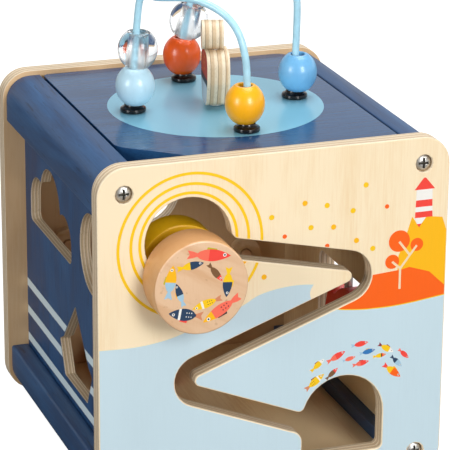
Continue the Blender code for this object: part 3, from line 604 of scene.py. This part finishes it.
def softbox(name, place, aim, size, power):
    data = bpy.data.lights.new(name, "AREA")
    data.shape = "RECTANGLE"
    data.size, data.size_y = size
    data.energy = power
    light = bpy.data.objects.new(name, data)
    light.location = place
    light.rotation_euler = (Vector(aim) - Vector(place)).to_track_quat("-Z", "Y").to_euler()
    bpy.context.scene.collection.objects.link(light)


def set_walls():
    """A white room, darker to the left, below and above."""
    world = bpy.data.worlds.new("studio")
    world.use_nodes = True
    tree = world.node_tree
    way = tree.nodes.new("ShaderNodeTexCoord")
    parts = tree.nodes.new("ShaderNodeSeparateXYZ")
    tree.links.new(way.outputs["Generated"], parts.inputs[0])
    levels = []
    for axis, span in ((0, (-0.95, 0.05, 0.28, 1.0)), (2, (-0.10, 0.05, 0.25, 1.0)),
                       (2, (0.24, 0.34, 1.0, 0.36))):
        level = tree.nodes.new("ShaderNodeMapRange")
        for key, value in zip(("From Min", "From Max", "To Min", "To Max"), span):
            level.inputs[key].default_value = value
        tree.links.new(parts.outputs[axis], level.inputs["Value"])
        levels.append(level.outputs["Result"])
    total = levels[0]
    for level in levels[1:]:
        product = tree.nodes.new("ShaderNodeMath")
        product.operation = "MULTIPLY"
        tree.links.new(total, product.inputs[0])
        tree.links.new(level, product.inputs[1])
        total = product.outputs[0]
    tree.links.new(total, tree.nodes["Background"].inputs["Strength"])
    tree.nodes["Background"].inputs["Color"].default_value = (1.0, 1.0, 1.0, 1.0)
    bpy.context.scene.world = world


def ground(name, height, look):
    bm = bmesh.new()
    bmesh.ops.create_grid(bm, x_segments=4, y_segments=4, size=12.0)
    floor = new_piece(name, bm, [look.material])
    floor.location.z = height
    return floor


def set_studio():
    bpy.context.scene.view_settings.view_transform = "Standard"
    set_walls()
    softbox("left softbox", (-1.70, -0.75, 0.70), (0, 0, 0.12), (0.55, 0.8), 15)
    softbox("right softbox", (0.35, -1.75, 0.85), (0, 0, 0.12), (0.55, 0.8), 19)
    softbox("top softbox", (0.3, 0.1, 1.7), (0, 0, 0.1), (1.2, 1.0), 18)

    look = Look("white sweep")
    cloud = look.noise(look.coordinates(), 3, 2)
    look.surface(Base_Color=look.ramp(cloud, [(0.3, rgba("7c7c7c")), (0.7, rgba("808080"))]), Roughness=0.9,
                 Emission_Color=(1.0, 1.0, 1.0, 1.0), Emission_Strength=0.97)
    sweep = ground("white_sweep", -0.0002, look)
    sweep.visible_diffuse = sweep.visible_glossy = sweep.visible_shadow = False

    look = Look("grey table")
    cloud = look.noise(look.coordinates(), 3, 2)
    look.surface(Base_Color=look.ramp(cloud, [(0.3, rgba("6c6c6c")), (0.7, rgba("747474"))]), Roughness=0.8)
    table = ground("grey_table", -0.0004, look)
    table.visible_camera = table.visible_transmission = False


# ---------------------------------------------------------------- the box
def make_panels():
    front = plywood("front birch ply", 1, *span("front_panel", 1))
    refined("front_panel", front, 0.0006, 3)
    # the rear tint is painted shade on the back panel's inner face, which sits in the box's shade
    back = plywood("back birch ply", 1, *span("back_panel", 1), rear="e8d3bf")
    refined("back_panel", back, 0.0006, 3)
    left = stained_ply("left navy ply", 0, *span("left_panel", 0), -1, 2)
    refined("left_panel", left, 0.0004)
    right = stained_ply("right navy ply", 0, *span("right_panel", 0), 1, 2)
    refined("right_panel", right, 0.0004)
    floor_board = plywood("floor board ply", 2, *span("bottom_board", 2), 1, 0.0, "f7dcae", "e2bd88")
    refined("bottom_board", floor_board, 0.0003)
    rail = stained_wood("navy rail", 1)
    for level in ("top", "bottom"):
        for side in ("left", "right"):
            refined(f"rail_{level}_{side}", rail, 0.0005)
    lid = stained_lid("navy lid", 0)
    refined("lid_board", lid, 0.0008, 3)


def paint_cross_shade(screw, shade):
    """Paint shade into a screw's cross recess: its walls and floor take a darker metal."""
    mesh = screw.data
    mesh.materials.append(shade)
    head = max(abs(vertex.co.y) for vertex in mesh.vertices)
    xs, zs = [v.co.x for v in mesh.vertices], [v.co.z for v in mesh.vertices]
    middle = Vector(((min(xs) + max(xs)) / 2, 0, (min(zs) + max(zs)) / 2))

    def near_axis(face):
        away = face.center - middle
        return math.hypot(away.x, away.z) < 0.0031 and abs(face.center.y) > head - 0.0022

    walls = [face for face in mesh.polygons if near_axis(face) and abs(face.normal.y) < 0.5]
    deepest = min((abs(mesh.vertices[i].co.y) for face in walls for i in face.vertices), default=head)
    for face in mesh.polygons:
        if face in walls or (near_axis(face) and abs(abs(face.center.y) - deepest) < 0.0001):
            face.material_index = 1


def make_screws():
    steel = nickel("nickel screws")
    # painted shade: a dark metal for the walls and floor of the screws' cross recesses
    shade = nickel("screw recess painted shade", "56524a", "6b665d")
    for panel in ("front", "back"):
        for level in ("top", "bottom"):
            for side in ("left", "right"):
                paint_cross_shade(refined(f"screw_{panel}_{level}_{side}", steel, 0.00015, 1, 28), shade)
    refined("fish_rod", steel, 0.0003)
    refined("figure_pin", steel, 0.0002)


# ---------------------------------------------------------------- pictures
INKS = {
    "water": "c9dfe8", "yellow": "fccb05", "amber": "ffbc00", "orange": "ff6400", "red": "f8463a",
    "coral": "fb7058", "cream": "f6dcb4", "white": "f6f3ec", "navy": "223d5c", "light_blue": "a5c9de",
    "blue": "2e78b8", "brown": "7c5532", "peach": "d98a62", "dark_red": "8d2233", "olive": "c3b520",
    "black": "20242a", "grey": "b9c3c9", "stripe": "d9e9ee", "lid_blue": "7db8d0",
}


def fish(x, y, length, angle, rear, front, tail, girth=0.17, split=0.5, fin=None, fin_side=1, band=None,
         spots=None):
    """Layers of one printed fish; the angle points from its tail to its nose."""
    ahead = Vector((math.cos(math.radians(angle)), math.sin(math.radians(angle))))
    side = Vector((-ahead.y, ahead.x))

    def at(along, across):
        return Vector((x, y)) + ahead * ((along - 0.5) * length) + side * (across * length)

    def body(start, end):
        steps = 10
        upper, lower = [], []
        for i in range(steps + 1):
            along = start + (end - start) * i / steps
            share = (along - 0.2) / 0.8
            half = girth * max(0.0, math.sin(math.pi * share ** 0.85)) ** 0.8 + 0.014 * (1 - share)
            upper.append(at(along, half))
            lower.append(at(along, -half))
        return upper + lower[::-1]

    layers = []
    if fin:
        layers.append(([[at(0.42, fin_side * girth * 0.8), at(0.45, fin_side * girth * 1.38),
                         at(0.66, fin_side * girth * 1.15), at(0.70, fin_side * girth * 0.6)]], fin))
    layers.append(([[at(0.26, 0.03), at(0.13, 0.075), at(0.0, girth * 0.78), at(0.055, 0.0),
                     at(0.0, -girth * 0.78), at(0.13, -0.075), at(0.26, -0.03)]], tail))
    layers.append(([body(0.2, 1.0)], rear))
    layers.append(([body(split, 1.0)], front))
    if band:
        layers.append(([body(split - 0.035, split + 0.035)], band))
    if spots:
        for i in range(3):
            for j in (-1, 1):
                spot = at(0.34 + 0.07 * i, j * girth * 0.33)
                layers.append(([circle(spot.x, spot.y, length * 0.017, 8)], spots))
    eye = at(0.86, girth * 0.12)
    layers.append(([circle(eye.x, eye.y, length * 0.042, 14)], "white"))
    layers.append(([circle(eye.x, eye.y, length * 0.022, 10)], "black"))
    return layers


def landscape():
    """Layers of the track panel's picture, in (x, z)."""
    shore = flowing([(-102, 99.4), (-90, 98.9), (-80, 98.8), (-70, 99.6), (-60, 101.3), (-50.7, 104),
                     (-40, 107.3), (-29, 111), (-18.7, 115.3), (-10, 120), (0, 122.4), (10, 123.3),
                     (17.3, 123.1), (21.9, 122.5)])
    curl = flowing([(21.9, 122.5), (20.4, 120.3), (19.9, 117.6), (20.6, 114.3), (23, 109)])
    shelf = [(35.6, 107), (40, 106.1), (50, 105), (58, 104.7), (66.7, 104.7), (75, 105.2), (83.3, 106),
             (102, 108.3)]
    bank = flowing(shelf)
    slope = corners((102, 110.8), (100, 112.7), (90, 122.3), (78, 126.3), (73.3, 125.3), (55.3, 124),
                    (50, 124), (45, 118))
    water = shore + curl + bank + corners((102, -2), (-102, -2))
    rim = [point + Vector((0, -0.55)) for point in bank] + slope
    layers = [([water], "water"), ([rim], "yellow")]
    layers.append(([corners((71, 125), (71.3, 133.3), (75.3, 144), (78.7, 155.3), (80.3, 153), (83, 148.7),
                            (87.3, 154.7), (96.7, 153.3), (102, 138), (102, 110), (90, 120), (78, 124))],
                   "amber"))
    layers.append(([bank + slope], "orange"))
    roof = [(79.7, 170.3)] + [(85.6 + 1.3 * math.cos(a), 175.7 + 1.3 * math.sin(a))
                              for a in (2.4, 2.0, 1.57, 1.14, 0.74)] + [(91.7, 170.3)]
    layers.append(([corners(*roof)], "red"))
    tower = [((80.9, 90.2, 170.3), (80.8, 90.4, 164.3), "white"),
             ((80.8, 90.4, 164.3), (80.6, 90.5, 160.4), "red"),
             ((80.6, 90.5, 160.4), (80.5, 90.6, 157.6), "white"),
             ((80.5, 90.6, 157.6), (80.4, 90.8, 154.2), "red")]
    for (left, right, top), (low_left, low_right, bottom), colour in tower:
        layers.append(([corners((left, top), (right, top), (low_right, bottom), (low_left, bottom))],
                       colour))
    layers.append(([corners((80.4, 154.2), (86.9, 154.2), (84.4, 150.7), (81.6, 150.7))], "white"))
    layers.append(([corners((81.6, 150.7), (84.4, 150.7), (83, 148.7))], "red"))

    for x, z, radius in ((71.6, 142.0, 6.2), (82.0, 138.9, 3.8), (67.7, 130.4, 4.1)):
        layers.append(([circle(x, z, radius, 40)], "orange"))
    for line in (((72.5, 114), (72.5, 127.2)), ((72.6, 126.0), (67.7, 130.4)), ((72.2, 125.6), (82, 138.4)),
                 ((78.0, 133.3), (71.6, 141.6))):
        layers.append(([stroke(line, 1.3)], "cream"))

    for x, z, radius in ((-49.6, 155.4, 27.1), (-48.7, 154.6, 32.9), (-48.5, 153.0, 40.2)):
        layers.append(([circle(x, z, radius + 0.8, 120), circle(x, z, radius - 0.8, 120)], "yellow"))
    seeds = [(51.1, 176.4, "yellow"), (16, 169.7, "amber"), (28.8, 167.1, "yellow"), (43.9, 162.5, "yellow"),
             (63.7, 162.8, "orange"), (-2.9, 163.7, "yellow"), (19.7, 155.5, "yellow"),
             (32.8, 154.4, "amber"), (4.7, 152.1, "orange"), (46.3, 145.2, "amber"), (56, 139.5, "yellow"),
             (29.3, 144, "orange"), (-6.8, 130.3, "amber"), (-18.4, 140.7, "amber")]
    for x, z, colour in seeds:
        layers.append(([circle(x, z, 1.25 if colour == "orange" else 1.5, 24)], colour))
    return layers


def shoal():
    """Layers of the small fish over the arch."""
    swarm = [
        (25.05, 74.9, 10.3, 40, "yellow", "white", "yellow", {"fin": "dark_red", "split": 0.72}),
        (23.6, 65.2, 13.6, 37, "yellow", "yellow", "peach", {"fin": "dark_red", "band": "white",
                                                            "split": 0.72, "spots": "brown"}),
        (35.9, 78.5, 12.0, 26.6, "coral", "red", "coral", {}),
        (33.6, 68.8, 9.2, 41.6, "brown", "red", "brown", {"split": 0.7}),
        (49.7, 84.3, 10.2, 7, "red", "red", "light_blue", {}),
        (43.6, 76.3, 7.9, 13, "coral", "coral", "light_blue", {}),
        (54.4, 79.2, 9.5, 9, "blue", "blue", "light_blue", {"fin": "yellow"}),
        (50.6, 72.8, 10.0, 9, "coral", "red", "coral", {"fin": "dark_red"}),
        (61.7, 76.0, 8.0, 5, "yellow", "orange", "yellow", {"band": "black", "split": 0.66}),
        (65.5, 80.0, 10.8, -32.5, "yellow", "white", "dark_red", {"fin": "dark_red", "split": 0.72}),
        (72.0, 71.3, 9.8, -47, "navy", "light_blue", "navy", {}),
        (76.2, 75.3, 8.7, -44.5, "red", "red", "coral", {}),
        (69.5, 66.0, 13.6, -40, "yellow", "orange", "red", {"fin": "amber"}),
    ]
    layers = []
    for x, z, length, angle, rear, front, tail, more in swarm:
        layers += fish(x, z, length, angle, rear, front, tail, girth=0.15, **more)
    return layers


def ring_of_fish():
    """Layers of the fish on the slider's face, about its middle."""
    ring = [
        (4.0, 18.3, 24.2, -7.5, "coral", "red", "coral", {"fin": "olive", "girth": 0.13}),
        (-6.5, 13.3, 15.0, 8, "yellow", "navy", "yellow", {"girth": 0.14}),
        (-17.6, 5.2, 19.0, 81, "light_blue", "amber", "light_blue", {"fin": "olive", "split": 0.5,
                                                                     "girth": 0.15}),
        (-12.3, -2.6, 14.0, 108, "light_blue", "navy", "light_blue", {"fin": "amber", "girth": 0.13}),
        (-9.0, -14.2, 19.3, 169.5, "navy", "navy", "peach", {"band": "white", "split": 0.68,
                                                             "spots": "white", "fin": "red"}),
        (3.0, -9.1, 17.0, 196, "yellow", "yellow", "peach", {"band": "white", "split": 0.66,
                                                             "spots": "brown", "girth": 0.13}),
        (11.2, -13.3, 24.2, 211.6, "coral", "amber", "coral", {"split": 0.72, "spots": "dark_red",
                                                               "fin": "black", "girth": 0.12}),
        (7.5, 8.1, 13.0, -53, "brown", "red", "brown", {"split": 0.74, "girth": 0.13}),
        (14.6, 1.8, 16.8, 265, "yellow", "navy", "yellow", {"fin": "yellow", "girth": 0.15}),
    ]
    layers = []
    for x, z, length, angle, rear, front, tail, more in ring:
        layers += fish(x * 0.98, z * 0.98, length, angle, rear, front, tail, **more)
    return layers


def printed(layers, palette):
    """Layers with their ink's name exchanged for its material."""
    return [(loops, palette[name]) for loops, name in layers]


def make_pictures():
    inks = {name: ink("ink " + name, code) for name, code in INKS.items()}
    inks["lid_blue"] = ink("ink lid disc", INKS["lid_blue"], 0, 0.92, 0.22)
    outline = face_loops("front_panel", 1, FRONT_FACE, lambda co: Vector((co.x, co.z)))
    keep = inset(outline, face_side(outline) * 0.65)
    film("front_picture", Matrix.Translation((0, FRONT_FACE, 0)) @ TO_FRONT,
         printed(landscape() + shoal(), inks), keep, "case")

    outline = face_loops("left_panel", 0, LEFT_FACE, lambda co: Vector((-co.y, co.z)))
    keep = inset(outline, face_side(outline) * 0.5)
    bands = [([stroke([(-95, z), (95, z)], 5.0)], "stripe") for z in (35.0, 52.5, 70.0)]
    to_left = Matrix.Translation((LEFT_FACE, 0, 0)) @ Matrix.Rotation(-math.pi / 2, 4, "Z") @ TO_FRONT
    film("left_stripes", to_left, printed(bands, inks), keep, "case")

    disc = [([circle(0, 0, 61, 180)], "lid_blue")]
    holes = [circle(x, y, 2.2, 24) for x, y in ((0, -52), (-48, 2), (-1.5, 52), (47.5, 0), (0, 0))]
    film("lid_disc", Matrix.Translation((0, 0, LID_TOP)), printed(disc, inks),
         [circle(0, 0, 70, 60)] + holes, "lid")

    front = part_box("slider_fish_disc")[0].y + 0.00008
    centre = middle_of("slider_fish_disc")
    film("slider_picture", Matrix.Translation((centre.x, front, centre.z)) @ TO_FRONT,
         printed(ring_of_fish(), inks), [circle(0, 0, 23.5, 90)], "slider_discs")


def face_side(loops):
    """1 if the outer loop runs anticlockwise, so that its left is inside the face; else -1."""
    outer = max(loops, key=lambda loop: reach([loop])[1] - reach([loop])[0])
    area = sum(a.x * b.y - b.x * a.y for a, b in zip(outer, outer[1:] + outer[:1]))
    return 1 if area > 0 else -1


# ---------------------------------------------------------------- bead maze
FRONT_FOOT, LEFT_FOOT = Vector((0.0, -0.052)), Vector((-0.048, 0.002))
BACK_FOOT, RIGHT_FOOT = Vector((-0.0015, 0.052)), Vector((0.0475, 0.0))
WIRE_END = 0.1885
FRONT_WIRE = [(0.0, 0.2010), (0.0, 0.2140), (0.0001, 0.2243), (0.0010, 0.2368), (0.0039, 0.2478),
              (0.0077, 0.2547), (0.0128, 0.2597), (0.0185, 0.2630), (0.0261, 0.2656),
              (0.0340, 0.2668), (0.0420, 0.2667), (0.0500, 0.2657), (0.0570, 0.2650),
              (0.0625, 0.2657), (0.0660, 0.2646), (0.0679, 0.2610), (0.0692, 0.2515),
              (0.0701, 0.2419), (0.0710, 0.2310), (0.0719, 0.2190), (0.0722, 0.2090),
              (0.0722, 0.2010)]
BACK_WIRE = [(0.0, 0.2010), (0.0, 0.2120), (0.0002, 0.2230), (0.0013, 0.2330), (0.0032, 0.2415),
             (0.0056, 0.2478), (0.0091, 0.2528), (0.0140, 0.2568), (0.0205, 0.2598),
             (0.0280, 0.2620), (0.0360, 0.2636), (0.0440, 0.2650), (0.0520, 0.2662),
             (0.0590, 0.2668), (0.0648, 0.2660), (0.0690, 0.2630), (0.0714, 0.2580),
             (0.0723, 0.2500), (0.0721, 0.2350), (0.0717, 0.2220), (0.07145, 0.2100),
             (0.07145, 0.2010)]


# across, pole to pole and cut height of a wooden and of a clear bead, each halved, in mm
WOODEN_BEAD = (11.0, 12.2, 10.5)
CLEAR_BEAD = (11.1, 12.0, 9.8)


def make_wire(node, first, last, heights, material):
    """A smooth round wire in the upright plane between two feet."""
    across = (last - first).normalized()
    points = [(0.0, WIRE_END)] + heights + [((last - first).length, WIRE_END)]
    path = flowing([(*(first + across * along), height) for along, height in points], 0.0012)
    curve = bpy.data.curves.new(node + "_smooth", "CURVE")
    curve.dimensions = "3D"
    curve.bevel_depth = 0.002
    curve.bevel_resolution = 6
    curve.use_fill_caps = True
    curve.resolution_u = 1
    spline = curve.splines.new("POLY")
    spline.points.add(len(path) - 1)
    for point, place in zip(spline.points, path):
        point.co = (*place, 1.0)
    spline.use_smooth = True
    curve.materials.append(material)
    wire = bpy.data.objects.new(node + "_smooth", curve)
    bpy.context.scene.collection.objects.link(wire)
    stands_for(wire, node)


def bead_profile(across, pole, half, bore=4.1, lip=0.35):
    """A slightly tall ball with a bore through it and a soft lip at each end of the bore, in mm."""
    start = math.acos(half / pole)
    angles = [start + (math.pi - 2 * start) * i / 28 for i in range(29)]
    side = [(across * math.sin(a), pole * math.cos(a)) for a in angles]
    upper = arc(bore + lip, half - lip, lip, 180, 95, 3)
    lower = [(x, -y) for x, y in reversed(upper)]
    return upper + side + lower


def make_beads():
    paints = {
        "bead_yellow": lacquer("amber bead lacquer", "ffb400"),
        "bead_light_blue": lacquer("light blue bead lacquer", "bde0f0"),
        "bead_orange": lacquer("orange bead lacquer", "f45a00"),
        "bead_blue": lacquer("blue bead lacquer", "70b2e0"),
        "bead_clear_left": acrylic("clear acrylic left"),
        "bead_clear_back": acrylic("clear acrylic back"),
    }
    to_left = (LEFT_FOOT - FRONT_FOOT).normalized()
    to_right = (RIGHT_FOOT - BACK_FOOT).normalized()
    leans = {"bead_clear_left": (math.radians(4), -to_left), "bead_clear_back": (math.radians(14), to_right)}
    for node, paint in paints.items():
        clear = node.startswith("bead_clear")
        sizes = CLEAR_BEAD if clear else WOODEN_BEAD
        materials = [paint, acrylic(node + " drilled bore", 0.35)] if clear else [paint]
        bead = turned(node + "_turned", bead_profile(*sizes), materials, 72, True)
        lean, toward = leans.get(node, (0.0, to_left))
        bead.rotation_euler = (0, lean, math.atan2(toward.y, toward.x))
        bead.location = middle_of(node)
        stands_for(bead, node)


def make_feet():
    black = plastic("black feet", "0d0d0f", 0.16)
    profile = ([(2.3, 0.0), (6.7, 0.0)] + arc(6.55, 0.75, 0.75, -80, 0, 4) + arc(6.55, 1.75, 0.75, 0, 75, 5)
               + arc(7.2, 4.9, 2.45, 242, 188, 8) + [(4.6, 4.15), (4.45, 4.3), (2.3, 4.3)])
    for place in ("front", "left", "back", "right"):
        node = "wire_foot_" + place
        foot = turned(node + "_turned", profile, [black], 64, True)
        low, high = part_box(node)
        foot.location = ((low.x + high.x) / 2, (low.y + high.y) / 2, low.z)
        stands_for(foot, node)


def figure_film(name, node, turn, layers, inks):
    """A picture on the left face of one of the figure's blocks, in (towards the front, up) mm."""
    across = Vector((math.cos(turn), math.sin(turn), 0))
    along = Vector((math.sin(turn), -math.cos(turn), 0))
    places = [vertex.co for vertex in nodes[node].data.vertices]
    level = min(place.dot(across) for place in places)
    rim = [place for place in places if place.dot(across) < level + 0.0001]
    middle = (max(p.z for p in rim) + min(p.z for p in rim)) / 2
    loop = sorted(((p.dot(along) / MM, (p.z - middle) / MM) for p in rim),
                  key=lambda p: math.atan2(p[1], p[0]))
    keep = [[Vector(p) * 0.975 for p in dict.fromkeys((round(x, 3), round(y, 3)) for x, y in loop)]]
    placing = Matrix.Translation(across * level + Vector((0, 0, middle))) @ Matrix(
        ((along.x, 0, -across.x), (along.y, 0, -across.y), (0, 1, 0))).to_4x4()
    return film(name, placing, printed(layers, inks), keep, nodes[node]["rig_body"])


def make_figure():
    light, dark = "f3dcb0", "dcb886"
    body_turn, body_depth = math.radians(-11.5), 0.0129
    body_ply = plywood("figure body ply", 0, -body_depth / 2, body_depth / 2, 2, -body_turn, light, dark)
    refined("figure_body", body_ply, 0.0006, 3)
    head_turn, head_left, head_right = math.radians(-16.2), -0.0081, 0.0041
    head_ply = plywood("figure head ply", 0, head_left, head_right, 2, -head_turn, light, dark)
    refined("figure_head", head_ply, 0.0005, 3)

    inks = {name: ink("figure " + name, code) for name, code in
            (("coat", "b23a22"), ("belt", "14171c"), ("trousers", "b9c2c8"), ("skin", "efc9a4"),
             ("hair", "5b4636"), ("eye", "1c1a1a"), ("mouth", "b0483c"), ("button", "d9b24a"))}
    coat = [([corners((-20, -20), (20, -20), (20, 20), (-20, 20))], "coat"),
            ([corners((-20, -20), (20, -20), (20, -3.2), (-20, -3.2))], "trousers"),
            ([corners((-20, -3.4), (20, -3.4), (20, 0.4), (-20, 0.4))], "belt")]
    for height in (11.0, 7.6, 4.2):
        coat.append(([circle(0, height, 0.75, 16)], "button"))
    figure_film("figure_coat", "figure_body", body_turn, coat, inks)

    fringe = flowing([(-9, 1.9), (-5.5, 3.0), (-2.0, 4.3), (2.0, 4.3), (5.5, 3.0), (9, 1.9)], 0.6)
    smile = flowing([(-2.3, -2.9), (-1.2, -3.6), (0, -3.85), (1.2, -3.6), (2.3, -2.9)], 0.3)
    face = [([corners((-12, -12), (12, -12), (12, 12), (-12, 12))], "skin"),
            ([fringe + corners((12, 12), (-12, 12))], "hair"),
            ([stroke(smile, 0.45)], "mouth")]
    for x in (-2.6, 2.6):
        face.append(([circle(x, 0.4, 0.62, 18)], "eye"))
    figure_film("figure_face", "figure_head", head_turn, face, inks)


# ---------------------------------------------------------------- slider, gears, window fish and blocks
def slider_disc(name, node, radius, depth, rims, steps, material, placing):
    """A disc of the slider, with a blind hole for the dowel on its panel side.

    rims are the radii of its outer and panel-side edge, in mm.
    """
    outer, inner = rims
    hole, hole_depth = 5.55, 15
    profile = ([(0, depth)] + arc(radius - outer, depth - outer, outer, 90, 0, 6)
               + arc(radius - inner, inner, inner, 0, -90, steps)
               + [(hole, 0), (hole, hole_depth), (0, hole_depth)])
    disc = turned(name, profile, [material], 128)
    disc.matrix_world = placing
    stands_for(disc, node)


def make_slider():
    centre = middle_of("slider_fish_disc")
    wood = beech("beech slider", rim="c98f52")
    panel_side = span("slider_fish_disc", 1)[1]
    slider_disc("slider_front_disc", "slider_fish_disc", 26, 21.3 - 0.08, (1.1, 0.8), 4, wood,
                Matrix.Translation((centre.x, panel_side, centre.z)) @ TO_FRONT)

    yellow = lacquer("yellow slider lacquer", "e6b004", 0.42, 0.1, 1)
    panel_side = span("slider_rear_disc", 1)[0]
    slider_disc("slider_back_disc", "slider_rear_disc", 24, 18.5, (1.2, 0.8), 5, yellow,
                Matrix.Translation((centre.x, panel_side, centre.z)) @ TO_BACK)
    refined("slider_dowel", wood, 0.0003)


def make_gears():
    caps = beech("beech caps", "dfb488", "c4925f")
    keeper = beech("beech keepers", "e8c79c", "cfa36f")
    paints = {"gear_right": "f7a90c", "gear_middle": "9cc9de", "gear_left": "e65320"}
    for node, code in paints.items():
        refined(node, lacquer(node + " lacquer", code, 0.36, 0.2), 0.0008, 3)
        refined(node + "_axle", caps, 0.0004)
        refined(node + "_keeper", keeper, 0.0005)


def make_loose_pieces():
    red = lacquer("red fish lacquer", "d8301f", 0.36, 0.2, 1)
    refined("turning_fish", red, 0.0010, 3)
    for node, code in (("block_cloud", "a9cfe2"), ("block_sun", "f6b21b"), ("block_boat", "cf3a22")):
        refined(node, lacquer(node + " lacquer", code, 0.34, 0.25, 0), 0.0012, 3)


set_camera()
set_studio()
make_panels()
make_screws()
make_pictures()
sleeve = plastic("coated wire", "aedbec", 0.22)
make_wire("wire_front_left", FRONT_FOOT, LEFT_FOOT, FRONT_WIRE, sleeve)
make_wire("wire_back_right", BACK_FOOT, RIGHT_FOOT, BACK_WIRE, sleeve)
make_beads()
make_feet()
make_figure()
make_slider()
make_gears()
make_loose_pieces()
